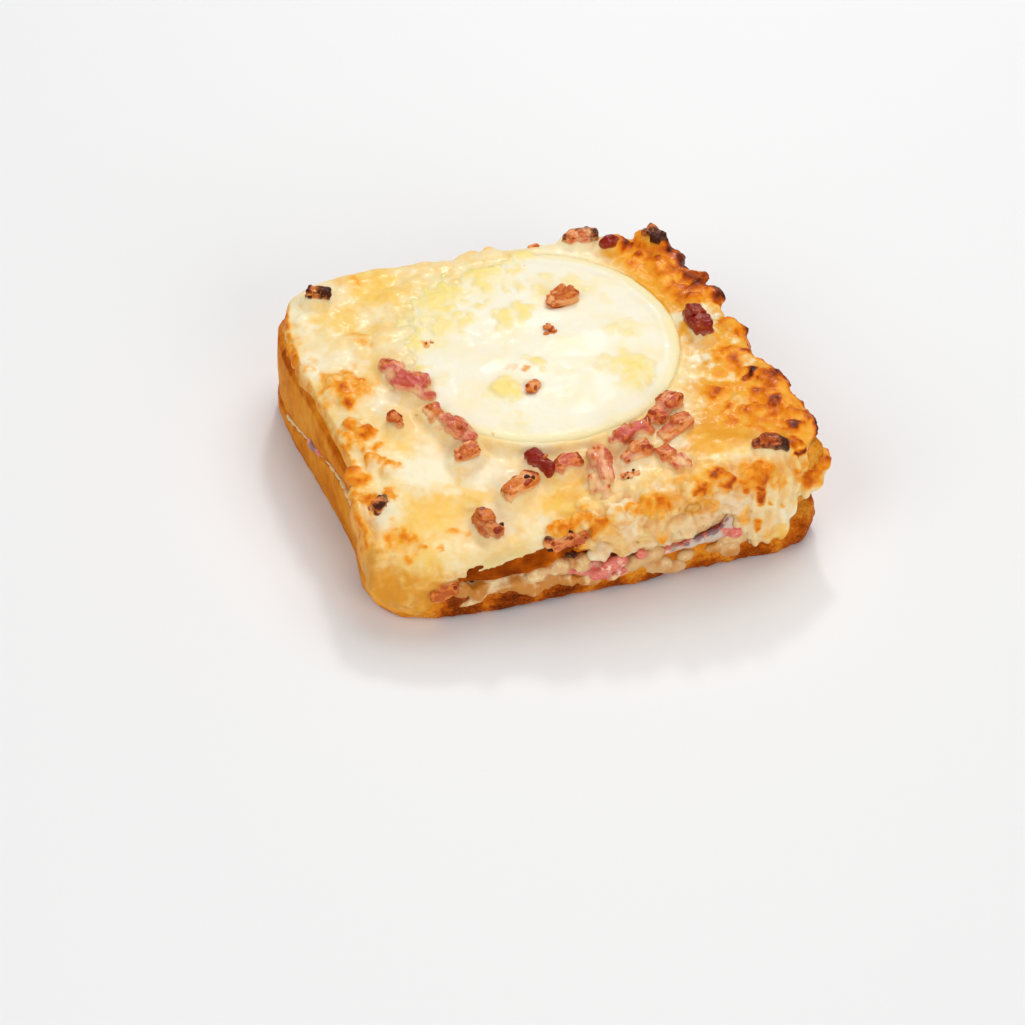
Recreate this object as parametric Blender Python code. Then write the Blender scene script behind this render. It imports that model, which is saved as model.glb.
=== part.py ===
# Croque monsieur: two toasted bread slices round a ham slice and cheese sauce, under a
# gratin with a goat's cheese round and bacon lardons.
# Units are metres, +Z is up, the underside of the bottom slice rests on z = 0,
# +X runs along the front edge and +Y towards the back.
import math
import random

import bmesh
import bpy
from mathutils import Matrix, Vector, noise

mm = 0.001

# plan of the sandwich
left_half_width = 64.4 * mm
right_half_width = 62.8 * mm
half_depth = 53.0 * mm
least_squareness = 5.8
most_squareness = 7.5
right_taper = 15.5 * mm
back_skew = 3.4 * mm
left_waist = 4.2 * mm
waist_place = -0.3
waist_reach_behind = 0.62
waist_reach_before = 0.4
front_bow = 1.6 * mm
corner_swell = 1.8 * mm
plan_shift = Vector((-0.6, -3.4)) * mm
frame_shift = Vector((1.8, 2.9, 0.0)) * mm
spoke_count = 56
outline_steps = 4000

# layers, from the bottom up
gap = 0.35 * mm
bottom_slice_height = 11.2 * mm
ham_height = 1.6 * mm
ham_fold_height = 4.2 * mm
ham_droop_height = 5.5 * mm
sauce_height = 2.9 * mm
top_slice_height = 10.0 * mm
gratin_height = 4.1 * mm
lowest_lip = 5.5 * mm
shoulder_height = 2.0 * mm

# the squeezed front-left edge, the sauce that swells out, and the seam up the left side
bottom_squeeze = 3.0 * mm
top_squeeze = 7.6 * mm
left_rim_fall = 1.6 * mm
ooze_height = 2.2 * mm
seam_middle_height = 12 * mm
seam_middle_place = 10 * mm
seam_slope = 0.26
lowest_seam = 7 * mm
highest_seam = 17.5 * mm

# rings every layer shares: a part of the radius, then distances in from the rim
middle_part = 0.55
tray_inset = 10.5 * mm
rim_inset = 2.2 * mm

# goat's cheese round
round_centre = Vector((0.5, 8.0)) * mm
round_radius = 39.0 * mm
round_floor = 28.4 * mm
round_rim = 31.6 * mm
round_crown = 33.0 * mm
round_segments = 36

# lardons
lardon_sides = 6
lardon_rings = 4
lardon_swell = 0.16
pocket_clearance = 0.4 * mm

# where the gratin hangs down the side: x, y, reach, drop
drapes = (
    (-51, -48, 11, 15.0),
    (47, -53, 9, 14.0),
    (28, -55, 10, 2.5),
    (3, -56, 10, 2.0),
    (-60, 12, 8, 1.5),
)

# toasted swellings of the gratin: x, y, reach, rise, push outwards at the rim
swellings = (
    (-53, 5, 8, 1.3, 0.4),
    (-55, -12, 5, 1.0, 0.4),
    (-43, -45, 11, 0.8, 0.6),
    (-38, 50, 7, 0.9, 0.6),
    (47, 31, 9, 1.9, 1.0),
    (52, 17, 5, 1.2, 1.0),
    (52, -10, 5, 1.3, 0.8),
    (55, -24, 5, 1.8, 2.2),
    (55, -38, 8, 2.0, 0.8),
    (38, -44, 9, 1.4, 0.8),
    (38, -21, 5, 0.9, 0.0),
    (8, -54, 8, 1.3, 1.0),
    (27, -53, 6, 1.2, 1.2),
    (42, 43, 6, 1.3, 0.8),
)

# lardons on the top: x, y, lift, length, width, thickness, turn, tilt
lardons = (
    (-36.7, 3.8, 0.6, 18.5, 7.0, 5.6, -66, 2),
    (-32.3, -16.3, 0.6, 17.0, 6.2, 5.0, -57, 3),
    (-30.4, -27.0, 0.8, 7.8, 5.6, 4.6, 14, 0),
    (-12.4, -34.4, 0.8, 8.4, 5.0, 5.0, -66, 0),
    (-6.2, -37.2, 0.4, 5.4, 4.0, 4.0, 15, 0),
    (-20.3, -40.7, 0.8, 11.0, 6.2, 5.4, 32, 0),
    (-31.3, -49.2, 0.6, 11.0, 5.6, 4.8, -75, -4),
    (1.2, -42.6, 0.6, 15.6, 6.6, 5.6, -99, -6),
    (12.6, -33.6, 0.9, 10.4, 5.4, 5.2, 10, 0),
    (23.8, -27.6, 0.9, 10.0, 5.2, 6.0, 38, 0),
    (11.8, -40.6, 0.8, 8.2, 4.4, 4.6, 12, 0),
    (19.9, -45.8, 0.5, 9.2, 4.8, 4.2, -58, 0),
    (24.0, -35.2, 0.7, 7.6, 4.2, 4.4, 14, 0),
    (12.5, 21.9, 0.8, 10.4, 4.8, 4.2, 17, 0),
    (-6.3, -10.0, 0.9, 6.0, 4.4, 3.6, 37, 0),
    (44.2, 2.0, 0.9, 12.8, 6.4, 6.0, -77, 0),
    (32.6, 41.0, 1.0, 7.4, 5.8, 5.6, 20, 0),
    (26.0, 45.8, 0.8, 8.8, 5.2, 5.2, -8, 0),
    (44.4, 38.4, 1.2, 8.4, 5.4, 4.6, -62, 0),
    (-49.4, 42.5, 1.0, 6.4, 5.4, 4.6, -14, 0),
    (-55.3, -34.2, 0.6, 5.4, 4.6, 4.2, 12, 0),
    (45.2, -49.2, 0.9, 8.6, 5.2, 4.6, -19, 0),
    (-44.3, -12.4, 0.8, 5.6, 4.8, 4.4, -78, 0),
)
# lardons on the front face, with their height in place of the lift
face_lardons = (
    (-12.6, -57.2, 22.5, 10.6, 3.4, 4.2, -4, 0),
    (-45.0, -55.6, 11.0, 9.0, 3.2, 4.6, -12, 48),
)

# toasted colours, linear: base colour, roughness
colours = {
    "crust": ((0.55, 0.2, 0.03), 0.5),
    "ham": ((0.65, 0.25, 0.2), 0.4),
    "sauce": ((0.75, 0.5, 0.26), 0.4),
    "gratin": ((0.85, 0.58, 0.24), 0.35),
    "goat_cheese": ((0.95, 0.86, 0.6), 0.35),
    "lardon": ((0.5, 0.13, 0.06), 0.35),
}


def clear_scene():
    for thing in list(bpy.data.objects):
        bpy.data.objects.remove(thing)


def smooth_step(low, high, value):
    part = min(max((value - low) / (high - low), 0.0), 1.0)
    return part * part * (3.0 - 2.0 * part)


def mix(first, second, part):
    return first + (second - first) * part


def hump(x, y, centre_x, centre_y, reach):
    away = math.hypot(x - centre_x * mm, y - centre_y * mm) / (reach * mm)
    return math.exp(-away * away)


# ---- plan ----

def plan_point(angle):
    # one point of the slice's outline: a squared oval, tapered, skewed and waisted
    sharper = ((1 + math.cos(angle + math.pi / 4)) / 2) ** 2
    power = 2 / mix(least_squareness, most_squareness, sharper)
    u = math.copysign(abs(math.cos(angle)) ** power, math.cos(angle))
    v = math.copysign(abs(math.sin(angle)) ** power, math.sin(angle))
    y = half_depth * v
    if u > 0:
        x = u * (right_half_width - right_taper * (v + 1) / 2)
    else:
        spread = waist_reach_behind if v > waist_place else waist_reach_before
        waist = left_waist * math.exp(-((v - waist_place) / spread) ** 2)
        x = u * (left_half_width - waist)
    if v > 0:
        y -= back_skew * u * v
    else:
        y -= front_bow * v * u * u
    return Vector((x, y)) + plan_shift


def plan_outline():
    # the outline's points at equal steps along it, counter-clockwise from the right
    fine = [plan_point(math.tau * step / outline_steps) for step in range(outline_steps)]
    steps = [(b - a).length for a, b in zip(fine, fine[1:] + fine[:1])]
    spacing = sum(steps) / spoke_count
    points = []
    walked = 0.0
    for point, step in zip(fine, steps):
        if walked >= len(points) * spacing and len(points) < spoke_count:
            points.append(point)
        walked += step
    return points


# ---- how the sandwich is pressed, pinched and overflowing round its rim ----

def pressed(x, y):
    # the front-left edge is squeezed flat
    front = smooth_step(-14 * mm, -54 * mm, y)
    return front * (1 - smooth_step(-50 * mm, 30 * mm, x))


def pinched(x, y):
    # the two slices close up along their left, right and back edges
    left = smooth_step(-45 * mm, -55 * mm, x) * smooth_step(-54 * mm, -40 * mm, y)
    right = smooth_step(43 * mm, 52 * mm, x)
    back = 0.75 * smooth_step(38 * mm, 49 * mm, y)
    return 1 - (1 - left) * (1 - right) * (1 - back)


def along_front(x, y, start, end, blend):
    front = smooth_step(-46 * mm, -54 * mm, y)
    rising = smooth_step((start - blend) * mm, (start + blend) * mm, x)
    return front * rising * (1 - smooth_step((end - blend) * mm, (end + blend) * mm, x))


def oozing(x, y):
    # the sauce swells out at the front, right of the middle
    return along_front(x, y, 10, 36, 5)


def ham_showing(x, y):
    # the ham comes out at the front, as a drooping flap and as a longer fold
    return along_front(x, y, -12, 37, 4)


# ---- heights of the layers over the plan ----

def bottom_top(x, y):
    height = bottom_slice_height - bottom_squeeze * pressed(x, y)
    return height + 0.25 * mm * noise.noise(Vector((x, y, 0)) * 60)


def rim_seam(x, y):
    # the bottom slice's rim; on the left it climbs from the back to the front
    on_left = smooth_step(-48 * mm, -58 * mm, x)
    climb = seam_middle_height - seam_slope * (y - seam_middle_place)
    climb = min(max(climb, lowest_seam), highest_seam)
    climb = mix(climb, bottom_top(x, y), smooth_step(-28 * mm, -46 * mm, y))
    return mix(bottom_top(x, y), climb, on_left)


def ham_floor(x, y):
    return bottom_top(x, y) + gap


def ham_top(x, y):
    fold = ham_fold_height * hump(x, y, 34, -54, 9)
    return ham_floor(x, y) + ham_height * (1 - 0.3 * pressed(x, y)) + fold


def sauce_floor(x, y):
    return ham_top(x, y) + gap


def sauce_top(x, y):
    squeezed = sauce_height * (1 - 0.75 * pressed(x, y)) + ooze_height * oozing(x, y)
    return sauce_floor(x, y) + squeezed * (1 - 0.45 * hump(x, y, 36, -54, 9))


def slice_floor(x, y):
    return sauce_top(x, y) + gap


def slice_top(x, y):
    height = bottom_slice_height + ham_height + sauce_height + top_slice_height + 3 * gap
    height -= top_squeeze * pressed(x, y)
    height -= left_rim_fall * smooth_step(-46 * mm, -60 * mm, x)
    return height + 0.3 * mm * noise.noise(Vector((x, y, 0.02)) * 55)


def gratin_floor(x, y):
    return slice_top(x, y) + gap


def gratin_top(x, y):
    height = gratin_floor(x, y) + gratin_height * (1 - 0.35 * pressed(x, y))
    height += 0.9 * mm * noise.noise(Vector((x, y, 0.05)) * 90)
    height += 0.5 * mm * noise.noise(Vector((x, y, 0.09)) * 200)
    for centre_x, centre_y, reach, rise, push in swellings:
        height += rise * mm * hump(x, y, centre_x, centre_y, reach)
    return height


# ---- sections: on each spoke, lists of (radius, height) ----

class Spoke:
    # a vertical plane from the middle axis through one point of the outline
    def __init__(self, point):
        self.radius = point.length + corner_swell * hump(*point, 60, -47, 10)
        self.towards = point.normalized()
        self.rim = point
        self.slice_rim = self.radius
        self.below = []

    def at(self, radius):
        return self.towards * radius

    def height(self, field, radius):
        return field(*self.at(radius))

    def ground(self, radius):
        # the highest surface made so far at this radius, or under the floor outside it
        best = -1.0
        for section in self.below:
            for (r0, z0), (r1, z1) in zip(section, section[1:]):
                if min(r0, r1) <= radius <= max(r0, r1):
                    part = 0.5 if r1 == r0 else (radius - r0) / (r1 - r0)
                    best = max(best, mix(z0, z1, part))
        return best

    def resting(self, radius, height, spare=0.0):
        # the same point, lifted where it would touch what lies below
        under = max(self.ground(radius), self.ground(radius - gap), self.ground(radius + gap))
        return radius, max(height, under + gap + spare)

    def widest(self, low):
        # the largest radius made so far above a height
        return max(r for section in self.below for r, z in section if z >= low)

    def last_edge(self):
        # radius and height of the widest point of the layer made last
        return max(self.below[-1])


def make_layer(name, spokes, section_of, colour):
    # turns each spoke's lower and upper lines into one closed body
    work = bmesh.new()
    rows = []
    for spoke in spokes:
        lower, upper = section_of(spoke)
        line = lower + upper
        rows.append([work.verts.new((*spoke.at(radius), height)) for radius, height in line])
        spoke.below.append(lower[-1:] + upper)
    for left, right in zip(rows, rows[1:] + rows[:1]):
        for k in range(len(left) - 1):
            add_quad(work, left[k], right[k], right[k + 1], left[k + 1])
    close_ends(work, rows)
    return finish_mesh(name, work, colour)


def add_quad(work, a, b, c, d):
    # two triangles, split the same way over and under each joint so that the layers stay parallel
    if a.co.xy.length >= d.co.xy.length:
        work.faces.new((a, b, c))
        work.faces.new((a, c, d))
    else:
        work.faces.new((a, b, d))
        work.faces.new((b, c, d))


def close_ends(work, rows):
    # fills the first and last ring with a fan round a middle point
    ends = [work.faces.new([row[end] for row in rows]) for end in (0, -1)]
    middles = bmesh.ops.poke(work, faces=ends)["verts"]
    bmesh.ops.recalc_face_normals(work, faces=work.faces)
    return middles


def finish_mesh(name, work, colour):
    mesh = bpy.data.meshes.new(name)
    work.to_mesh(mesh)
    work.free()
    thing = bpy.data.objects.new(name, mesh)
    bpy.context.collection.objects.link(thing)
    mesh.shade_smooth()
    mesh.set_sharp_from_angle(angle=math.radians(50))
    mesh.materials.append(surface(colour))
    return thing


def surface(colour):
    if colour in bpy.data.materials:
        return bpy.data.materials[colour]
    base, roughness = colours[colour]
    material = bpy.data.materials.new(colour)
    material.use_nodes = True
    shader = material.node_tree.nodes["Principled BSDF"]
    shader.inputs["Base Color"].default_value = (*base, 1)
    shader.inputs["Roughness"].default_value = roughness
    shader.inputs["Metallic"].default_value = 0
    return material


# ---- the layers' sections ----

def bottom_slice_section(spoke):
    rim = spoke.radius
    seam = rim_seam(*spoke.rim)
    inner = rim * middle_part
    lower = [(inner, 0.0), (rim - 2.8 * mm, 0.0), (rim - 0.8 * mm, 1.2 * mm), (rim, 0.45 * seam)]
    upper = [
        (rim - 0.4 * mm, seam - 2.0 * mm),
        (rim - rim_inset, seam - 0.2 * mm),
        (rim - 7.0 * mm, spoke.height(bottom_top, rim - 7.0 * mm)),
        (rim - tray_inset, spoke.height(bottom_top, rim - tray_inset)),
        (inner, spoke.height(bottom_top, inner)),
    ]
    return lower, upper


def ham_section(spoke):
    rim = spoke.radius
    inner = rim * middle_part
    tray = rim - tray_inset
    showing = ham_showing(*spoke.rim)
    droop = ham_droop_height * hump(*spoke.rim, 2, -56, 5)
    hidden = -2.8 * mm - 5.0 * mm * pinched(*spoke.rim)
    edge = rim + mix(hidden, 1.8 * mm, showing)
    thick = ham_top(*spoke.rim) - ham_floor(*spoke.rim)
    floor = spoke.height(ham_floor, edge)
    lower = [
        spoke.resting(inner, spoke.height(ham_floor, inner)),
        spoke.resting(tray, spoke.height(ham_floor, tray)),
        spoke.resting(rim + mix(hidden - 1.6 * mm, -rim_inset, showing), 0),
        spoke.resting(rim + mix(hidden - 0.8 * mm, 0.45 * mm, showing), floor - 1.0 * mm * showing),
        spoke.resting(rim + mix(hidden, 0.6 * mm, showing), floor - 1.4 * mm * showing - droop),
    ]
    low = lower[-1][1]
    upper = [
        (edge, low + 0.35 * thick),
        (edge - 0.3 * mm, low + 0.9 * thick),
        (min(edge, rim) - 1.0 * mm, max(floor + thick - 0.3 * droop, lower[-3][1] + 0.7 * thick)),
        (tray, spoke.height(ham_top, tray)),
        (inner, spoke.height(ham_top, inner)),
    ]
    return lower, upper


def sauce_section(spoke):
    rim = spoke.radius
    inner = rim * middle_part
    tray = rim - tray_inset
    hidden = -1.2 * mm - 6.2 * mm * pinched(*spoke.rim)
    edge = rim + mix(hidden, 1.6 * mm, oozing(*spoke.rim))
    ham_edge, ham_edge_height = spoke.last_edge()
    fold = min(ham_edge, rim, edge - 1.0 * mm) - 1.0 * mm
    past_ham = min(max(ham_edge + 0.5 * mm, fold + 0.2 * mm), edge - 0.8 * mm)
    spare = 0.9 * mm + 1.5 * mm * hump(*spoke.rim, 40, -53, 8)
    lower = [
        spoke.resting(inner, spoke.height(sauce_floor, inner)),
        spoke.resting(tray, spoke.height(sauce_floor, tray)),
        spoke.resting(fold, 0, spare),
        spoke.resting(past_ham, ham_edge_height, spare),
        spoke.resting(edge - 0.5 * mm, 0),
    ]
    low = max(lower[-1][1], lower[-2][1] - 0.6 * mm)
    lower[-1] = (lower[-1][0], low)
    body = max(sauce_top(*spoke.rim) - low, 0.5 * mm)
    upper = [
        (edge, low + 0.5 * body),
        (edge - 0.8 * mm, low + 0.9 * body),
        (edge - 2.2 * mm, low + body),
        (tray, spoke.height(sauce_top, tray)),
        (inner, spoke.height(sauce_top, inner)),
    ]
    return lower, upper


def top_slice_section(spoke):
    inner = spoke.radius * middle_part
    tray = spoke.radius - tray_inset
    rim = spoke.radius + 0.6 * mm * hump(*spoke.rim, 60, -46, 10)
    rim -= 1.0 * mm * along_front(*spoke.rim, 6, 40, 5)
    spoke.slice_rim = rim
    sauce_edge, sauce_edge_height = spoke.last_edge()
    corner = min(sauce_edge, rim - 3.2 * mm)
    spare = 0.5 * mm + 1.6 * mm * hump(*spoke.rim, 38, -54, 9)
    roof = slice_top(*spoke.rim)
    closed = rim_seam(*spoke.rim) + gap
    floor = mix(slice_floor(*spoke.rim), closed, pinched(*spoke.rim))
    lower = [
        spoke.resting(inner, spoke.height(slice_floor, inner)),
        spoke.resting(tray, spoke.height(slice_floor, tray)),
        spoke.resting(corner - 2.2 * mm, 0, spare),
        spoke.resting(corner - 0.8 * mm, 0, spare),
        spoke.resting(corner + 0.5 * mm, max(floor, sauce_edge_height)),
        spoke.resting(rim - rim_inset, floor, spare),
        spoke.resting(rim - 0.5 * mm, floor + 1.6 * mm, spare),
    ]
    low = lower[-1][1]
    upper = [
        (rim, mix(low, roof, 0.45)),
        (rim - 0.4 * mm, roof - 2.0 * mm),
        (rim - rim_inset, roof - 0.3 * mm),
        (tray, spoke.height(slice_top, tray)),
        (inner, spoke.height(slice_top, inner)),
    ]
    return lower, upper


def gratin_section(spoke):
    rim = spoke.radius
    slice_rim = spoke.slice_rim
    x, y = spoke.rim
    drop = sum(fall * mm * hump(x, y, cx, cy, reach) for cx, cy, reach, fall in drapes)
    push = sum(out * mm * hump(x, y, cx, cy, reach) for cx, cy, reach, rise, out in swellings)
    inner = rim * middle_part
    tray = rim - tray_inset
    roof = spoke.height(gratin_top, rim - 1.5 * mm)
    shoulder = slice_top(x, y) - shoulder_height
    lip = max(shoulder - 0.2 * mm - drop, lowest_lip)
    wall = max(spoke.widest(lip - 1.0 * mm), rim) + gap
    lower = [
        spoke.resting(inner, spoke.height(gratin_floor, inner)),
        spoke.resting(tray, spoke.height(gratin_floor, tray)),
        spoke.resting(slice_rim - rim_inset, 0),
        spoke.resting(slice_rim, shoulder + 0.8 * mm),
        (wall, shoulder + 0.2 * mm),
        (wall, lip),
    ]
    upper = [
        (wall + 0.8 * mm, lip - 0.2 * mm),
        (wall + 1.0 * mm + 0.6 * push, mix(lip, roof, 0.4)),
        (wall + 0.4 * mm + push, mix(lip, roof, 0.78)),
        (rim - 0.8 * mm + push, roof - 0.4 * mm),
        (rim - 3.5 * mm, spoke.height(gratin_top, rim - 3.5 * mm)),
        (rim - 8.5 * mm, spoke.height(gratin_top, rim - 8.5 * mm)),
        (rim - 14 * mm, spoke.height(gratin_top, rim - 14 * mm)),
        (rim * 0.64, spoke.height(gratin_top, rim * 0.64)),
        (rim * 0.3, spoke.height(gratin_top, rim * 0.3)),
    ]
    return lower, upper


# ---- the goat's cheese round ----

def turned_disc(work, line):
    # a closed disc turned from (radius, height) pairs, with an uneven rim
    rows = []
    for segment in range(round_segments):
        angle = math.tau * segment / round_segments
        towards = Vector((math.cos(angle), math.sin(angle)))
        uneven = 1 + 0.012 * noise.noise(Vector((*towards, 0.3)) * 1.7)
        rows.append([
            work.verts.new((*(round_centre + towards * radius * uneven), height))
            for radius, height in line
        ])
    for left, right in zip(rows, rows[1:] + rows[:1]):
        for k in range(len(line) - 1):
            work.faces.new((left[k], right[k], right[k + 1], left[k + 1]))
    close_ends(work, rows)


def make_round():
    work = bmesh.new()
    turned_disc(work, [
        (0.5 * round_radius, round_floor),
        (round_radius - 1.0 * mm, round_floor),
        (round_radius, round_floor + 1.0 * mm),
        (round_radius, round_rim - 1.0 * mm),
        (round_radius - 1.2 * mm, round_rim),
        (round_radius - 3.6 * mm, round_rim - 0.1 * mm),
        (round_radius - 6.5 * mm, mix(round_rim, round_crown, 0.45)),
        (0.5 * round_radius, round_crown),
    ])
    for vert in work.verts:
        if vert.co.z > round_rim:
            vert.co.z += 0.35 * mm * noise.noise(vert.co * 70)
    return finish_mesh("goat_cheese_round", work, "goat_cheese")


def make_round_recess():
    work = bmesh.new()
    turned_disc(work, [
        (round_radius + gap, round_floor - gap),
        (round_radius + gap, round_crown + 12 * mm),
    ])
    return as_cutter(finish_mesh("round_recess", work, "goat_cheese"))


# ---- lardons ----

def make_lardon(name, place, size, turn, tilt, seed, grown):
    # a bar with an uneven section, its ends rounded, lying along X before it is turned
    length, width, thickness = size
    dice = random.Random(seed)
    bend = dice.uniform(-0.10, 0.10)
    work = bmesh.new()
    rings = []
    for ring in range(lardon_rings):
        along = ring / (lardon_rings - 1)
        slim = 1 - 0.42 * abs(2 * along - 1) ** 3
        points = []
        for side in range(lardon_sides):
            angle = math.tau * (side + 0.5) / lardon_sides
            reach = slim * (1 + dice.uniform(-lardon_swell, lardon_swell))
            forward = (along - 0.5) * (length + 2 * grown) + dice.uniform(-0.03, 0.03) * length
            aside = math.cos(angle) * (reach * width / 2 + grown)
            aside += bend * length * (1 - abs(2 * along - 1))
            upward = math.sin(angle) * (reach * thickness / 2 + grown)
            points.append(Vector((forward, aside, upward)))
        rings.append([work.verts.new(point) for point in points])
    for first, second in zip(rings, rings[1:]):
        for side in range(lardon_sides):
            following = (side + 1) % lardon_sides
            work.faces.new((first[side], first[following], second[following], second[side]))
    for tip in close_ends(work, list(zip(*rings))):
        tip.co.x += math.copysign(0.05 * length, tip.co.x)
    lying = Matrix.Rotation(math.radians(-tilt), 4, "Y")
    turned = Matrix.Rotation(math.radians(turn), 4, "Z")
    moved = Matrix.Translation(place)
    bmesh.ops.transform(work, matrix=moved @ turned @ lying, verts=work.verts)
    return finish_mesh(name, work, "lardon")


def as_cutter(thing):
    thing.hide_render = True
    thing.display_type = "WIRE"
    return thing


def cut(thing, cutter):
    step = thing.modifiers.new(cutter.name, "BOOLEAN")
    step.operation = "DIFFERENCE"
    step.solver = "EXACT"
    step.object = cutter


def near_round(x, y, margin):
    return (Vector((x, y)) - round_centre).length < round_radius + margin


def make_lardons(gratin, goat_round):
    placed = []
    for x, y, lift, length, width, thickness, turn, tilt in lardons:
        x *= mm
        y *= mm
        ground = gratin_top(x, y)
        if near_round(x, y, -6 * mm):
            ground = round_crown
        elif near_round(x, y, 0):
            ground = round_rim
        size = (length * mm, width * mm, thickness * mm)
        placed.append((Vector((x, y, ground + lift * mm)), size, turn, tilt))
    for x, y, z, length, width, thickness, turn, tilt in face_lardons:
        size = (length * mm, width * mm, thickness * mm)
        placed.append((Vector((x, y, z)) * mm, size, turn, tilt))
    for number, (place, size, turn, tilt) in enumerate(placed, 1):
        made = (place, size, turn, tilt, number)
        make_lardon(f"lardon_{number:02d}", *made, 0.0)
        cutter = make_lardon(f"pocket_{number:02d}", *made, pocket_clearance)
        as_cutter(cutter)
        reach = size[0] / 2 + 1.5 * mm
        if not near_round(place.x, place.y, -8 * mm):
            cut(gratin, cutter)
        if near_round(place.x, place.y, reach):
            cut(goat_round, cutter)


def main():
    clear_scene()
    spokes = [Spoke(point) for point in plan_outline()]
    make_layer("bread_slice_bottom", spokes, bottom_slice_section, "crust")
    make_layer("ham_slice", spokes, ham_section, "ham")
    make_layer("cheese_sauce", spokes, sauce_section, "sauce")
    make_layer("bread_slice_top", spokes, top_slice_section, "crust")
    gratin = make_layer("gratin_topping", spokes, gratin_section, "gratin")
    cut(gratin, make_round_recess())
    goat_round = make_round()
    make_lardons(gratin, goat_round)
    for thing in bpy.data.objects:
        thing.data.transform(Matrix.Translation(frame_shift))


main()
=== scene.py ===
# Croque monsieur: two toasted slices, ham and sauce between them, a gratin top with
# a goat's cheese round and bacon lardons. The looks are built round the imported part.
# +X runs along the front edge, +Y goes to the back, +Z is up, lengths below are in mm.

import math
import random
import bpy
import numpy as np
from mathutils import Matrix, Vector
from mathutils.bvhtree import BVHTree


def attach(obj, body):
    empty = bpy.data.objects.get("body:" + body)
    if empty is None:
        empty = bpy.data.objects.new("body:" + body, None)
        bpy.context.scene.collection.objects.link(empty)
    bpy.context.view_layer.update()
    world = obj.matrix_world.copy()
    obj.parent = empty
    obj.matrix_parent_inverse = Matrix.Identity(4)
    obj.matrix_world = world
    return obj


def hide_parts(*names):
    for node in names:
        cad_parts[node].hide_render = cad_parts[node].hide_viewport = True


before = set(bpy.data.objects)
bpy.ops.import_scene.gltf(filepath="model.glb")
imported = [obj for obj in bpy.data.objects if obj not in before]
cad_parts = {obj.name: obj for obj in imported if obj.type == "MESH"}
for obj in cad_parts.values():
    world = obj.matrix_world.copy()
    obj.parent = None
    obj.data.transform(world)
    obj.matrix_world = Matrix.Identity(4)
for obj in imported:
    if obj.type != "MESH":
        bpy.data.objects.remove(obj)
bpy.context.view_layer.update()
mm = 0.001
print("frame loaded with", len(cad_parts), "nodes")


# small helpers for picking, finishing and sculpting pieces

def pickOnly(*things):  # leaves just these selected, the last one active
    bpy.ops.object.select_all(action="DESELECT")
    for thing in things:
        thing.select_set(True)
    bpy.context.view_layer.objects.active = things[-1]


def finishWith(thing, kind, **settings):  # adds one modifier and applies it
    pickOnly(thing)
    step = thing.modifiers.new(kind.title(), kind)
    for name, value in settings.items():
        setattr(step, name, value)
    bpy.ops.object.modifier_apply(modifier=step.name)


def copyOfNode(node, name):  # a merged copy of one solid, free to be reshaped
    pickOnly(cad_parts[node])
    bpy.ops.object.duplicate()
    piece = bpy.context.active_object
    for key in list(piece.keys()):
        del piece[key]
    piece.parent = None
    piece.name = name
    piece.data.name = name
    piece.data.materials.clear()
    bpy.ops.object.mode_set(mode="EDIT")
    bpy.ops.mesh.select_all(action="SELECT")
    bpy.ops.mesh.remove_doubles(threshold=0.001 * mm)
    bpy.ops.object.mode_set(mode="OBJECT")
    return piece


def startFresh():  # an empty mesh in edit mode, ready for lumps
    bpy.ops.object.select_all(action="DESELECT")
    bpy.ops.mesh.primitive_plane_add(size=mm)
    bpy.ops.object.mode_set(mode="EDIT")
    bpy.ops.mesh.select_all(action="SELECT")
    bpy.ops.mesh.delete(type="VERT")
    return bpy.context.active_object


def joinInto(piece, extra):
    bpy.ops.object.mode_set(mode="OBJECT")
    pickOnly(extra, piece)
    bpy.ops.object.join()


def addCubes(piece, cubes):  # small blocks: middle x, y, z, half sizes, turns in degrees
    extra = startFresh()
    for x, y, z, halfX, halfY, halfZ, *turns in cubes:
        bpy.ops.mesh.primitive_cube_add(
            size=2 * mm, location=(x * mm, y * mm, z * mm),
            rotation=[math.radians(turn) for turn in turns], scale=(halfX, halfY, halfZ))
    joinInto(piece, extra)


# oval lumps: middle x, y, z, half sizes x, y, z, then, if they lean, turn and slope in degrees
def addBlobs(piece, blobs, fineness=3):
    extra = startFresh()
    for x, y, z, halfX, halfY, halfZ, *leaning in blobs:
        turn, slope = leaning or (0, 0)
        bpy.ops.mesh.primitive_ico_sphere_add(
            subdivisions=fineness, radius=mm, location=(x * mm, y * mm, z * mm),
            rotation=(0, math.radians(-slope), math.radians(turn)), scale=(halfX, halfY, halfZ))
    joinInto(piece, extra)


def fuse(piece, voxel, rounds):  # melts everything in the piece into one skin
    finishWith(piece, "REMESH", mode="VOXEL", voxel_size=voxel * mm)
    finishWith(piece, "SMOOTH", factor=0.5, iterations=rounds)


def calm(piece, chosen, rounds):  # smooths only the chosen points
    group = piece.vertex_groups.new(name="calm")
    group.add(np.flatnonzero(chosen).tolist(), 1, "REPLACE")
    finishWith(piece, "SMOOTH", factor=0.5, iterations=rounds, vertex_group="calm")
    piece.vertex_groups.clear()


def readRows(things, field):  # three numbers for each point or face
    flat = np.empty(len(things) * 3, np.float32)
    things.foreach_get(field, flat)
    return flat.reshape(-1, 3).astype(float)


def placesOf(piece):
    return readRows(piece.data.vertices, "co") / mm


def normalsOf(piece):
    return readRows(piece.data.vertices, "normal")


def movePlaces(piece, places):
    piece.data.vertices.foreach_set("co", (places * mm).astype(np.float32).ravel())
    piece.data.update()


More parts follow.
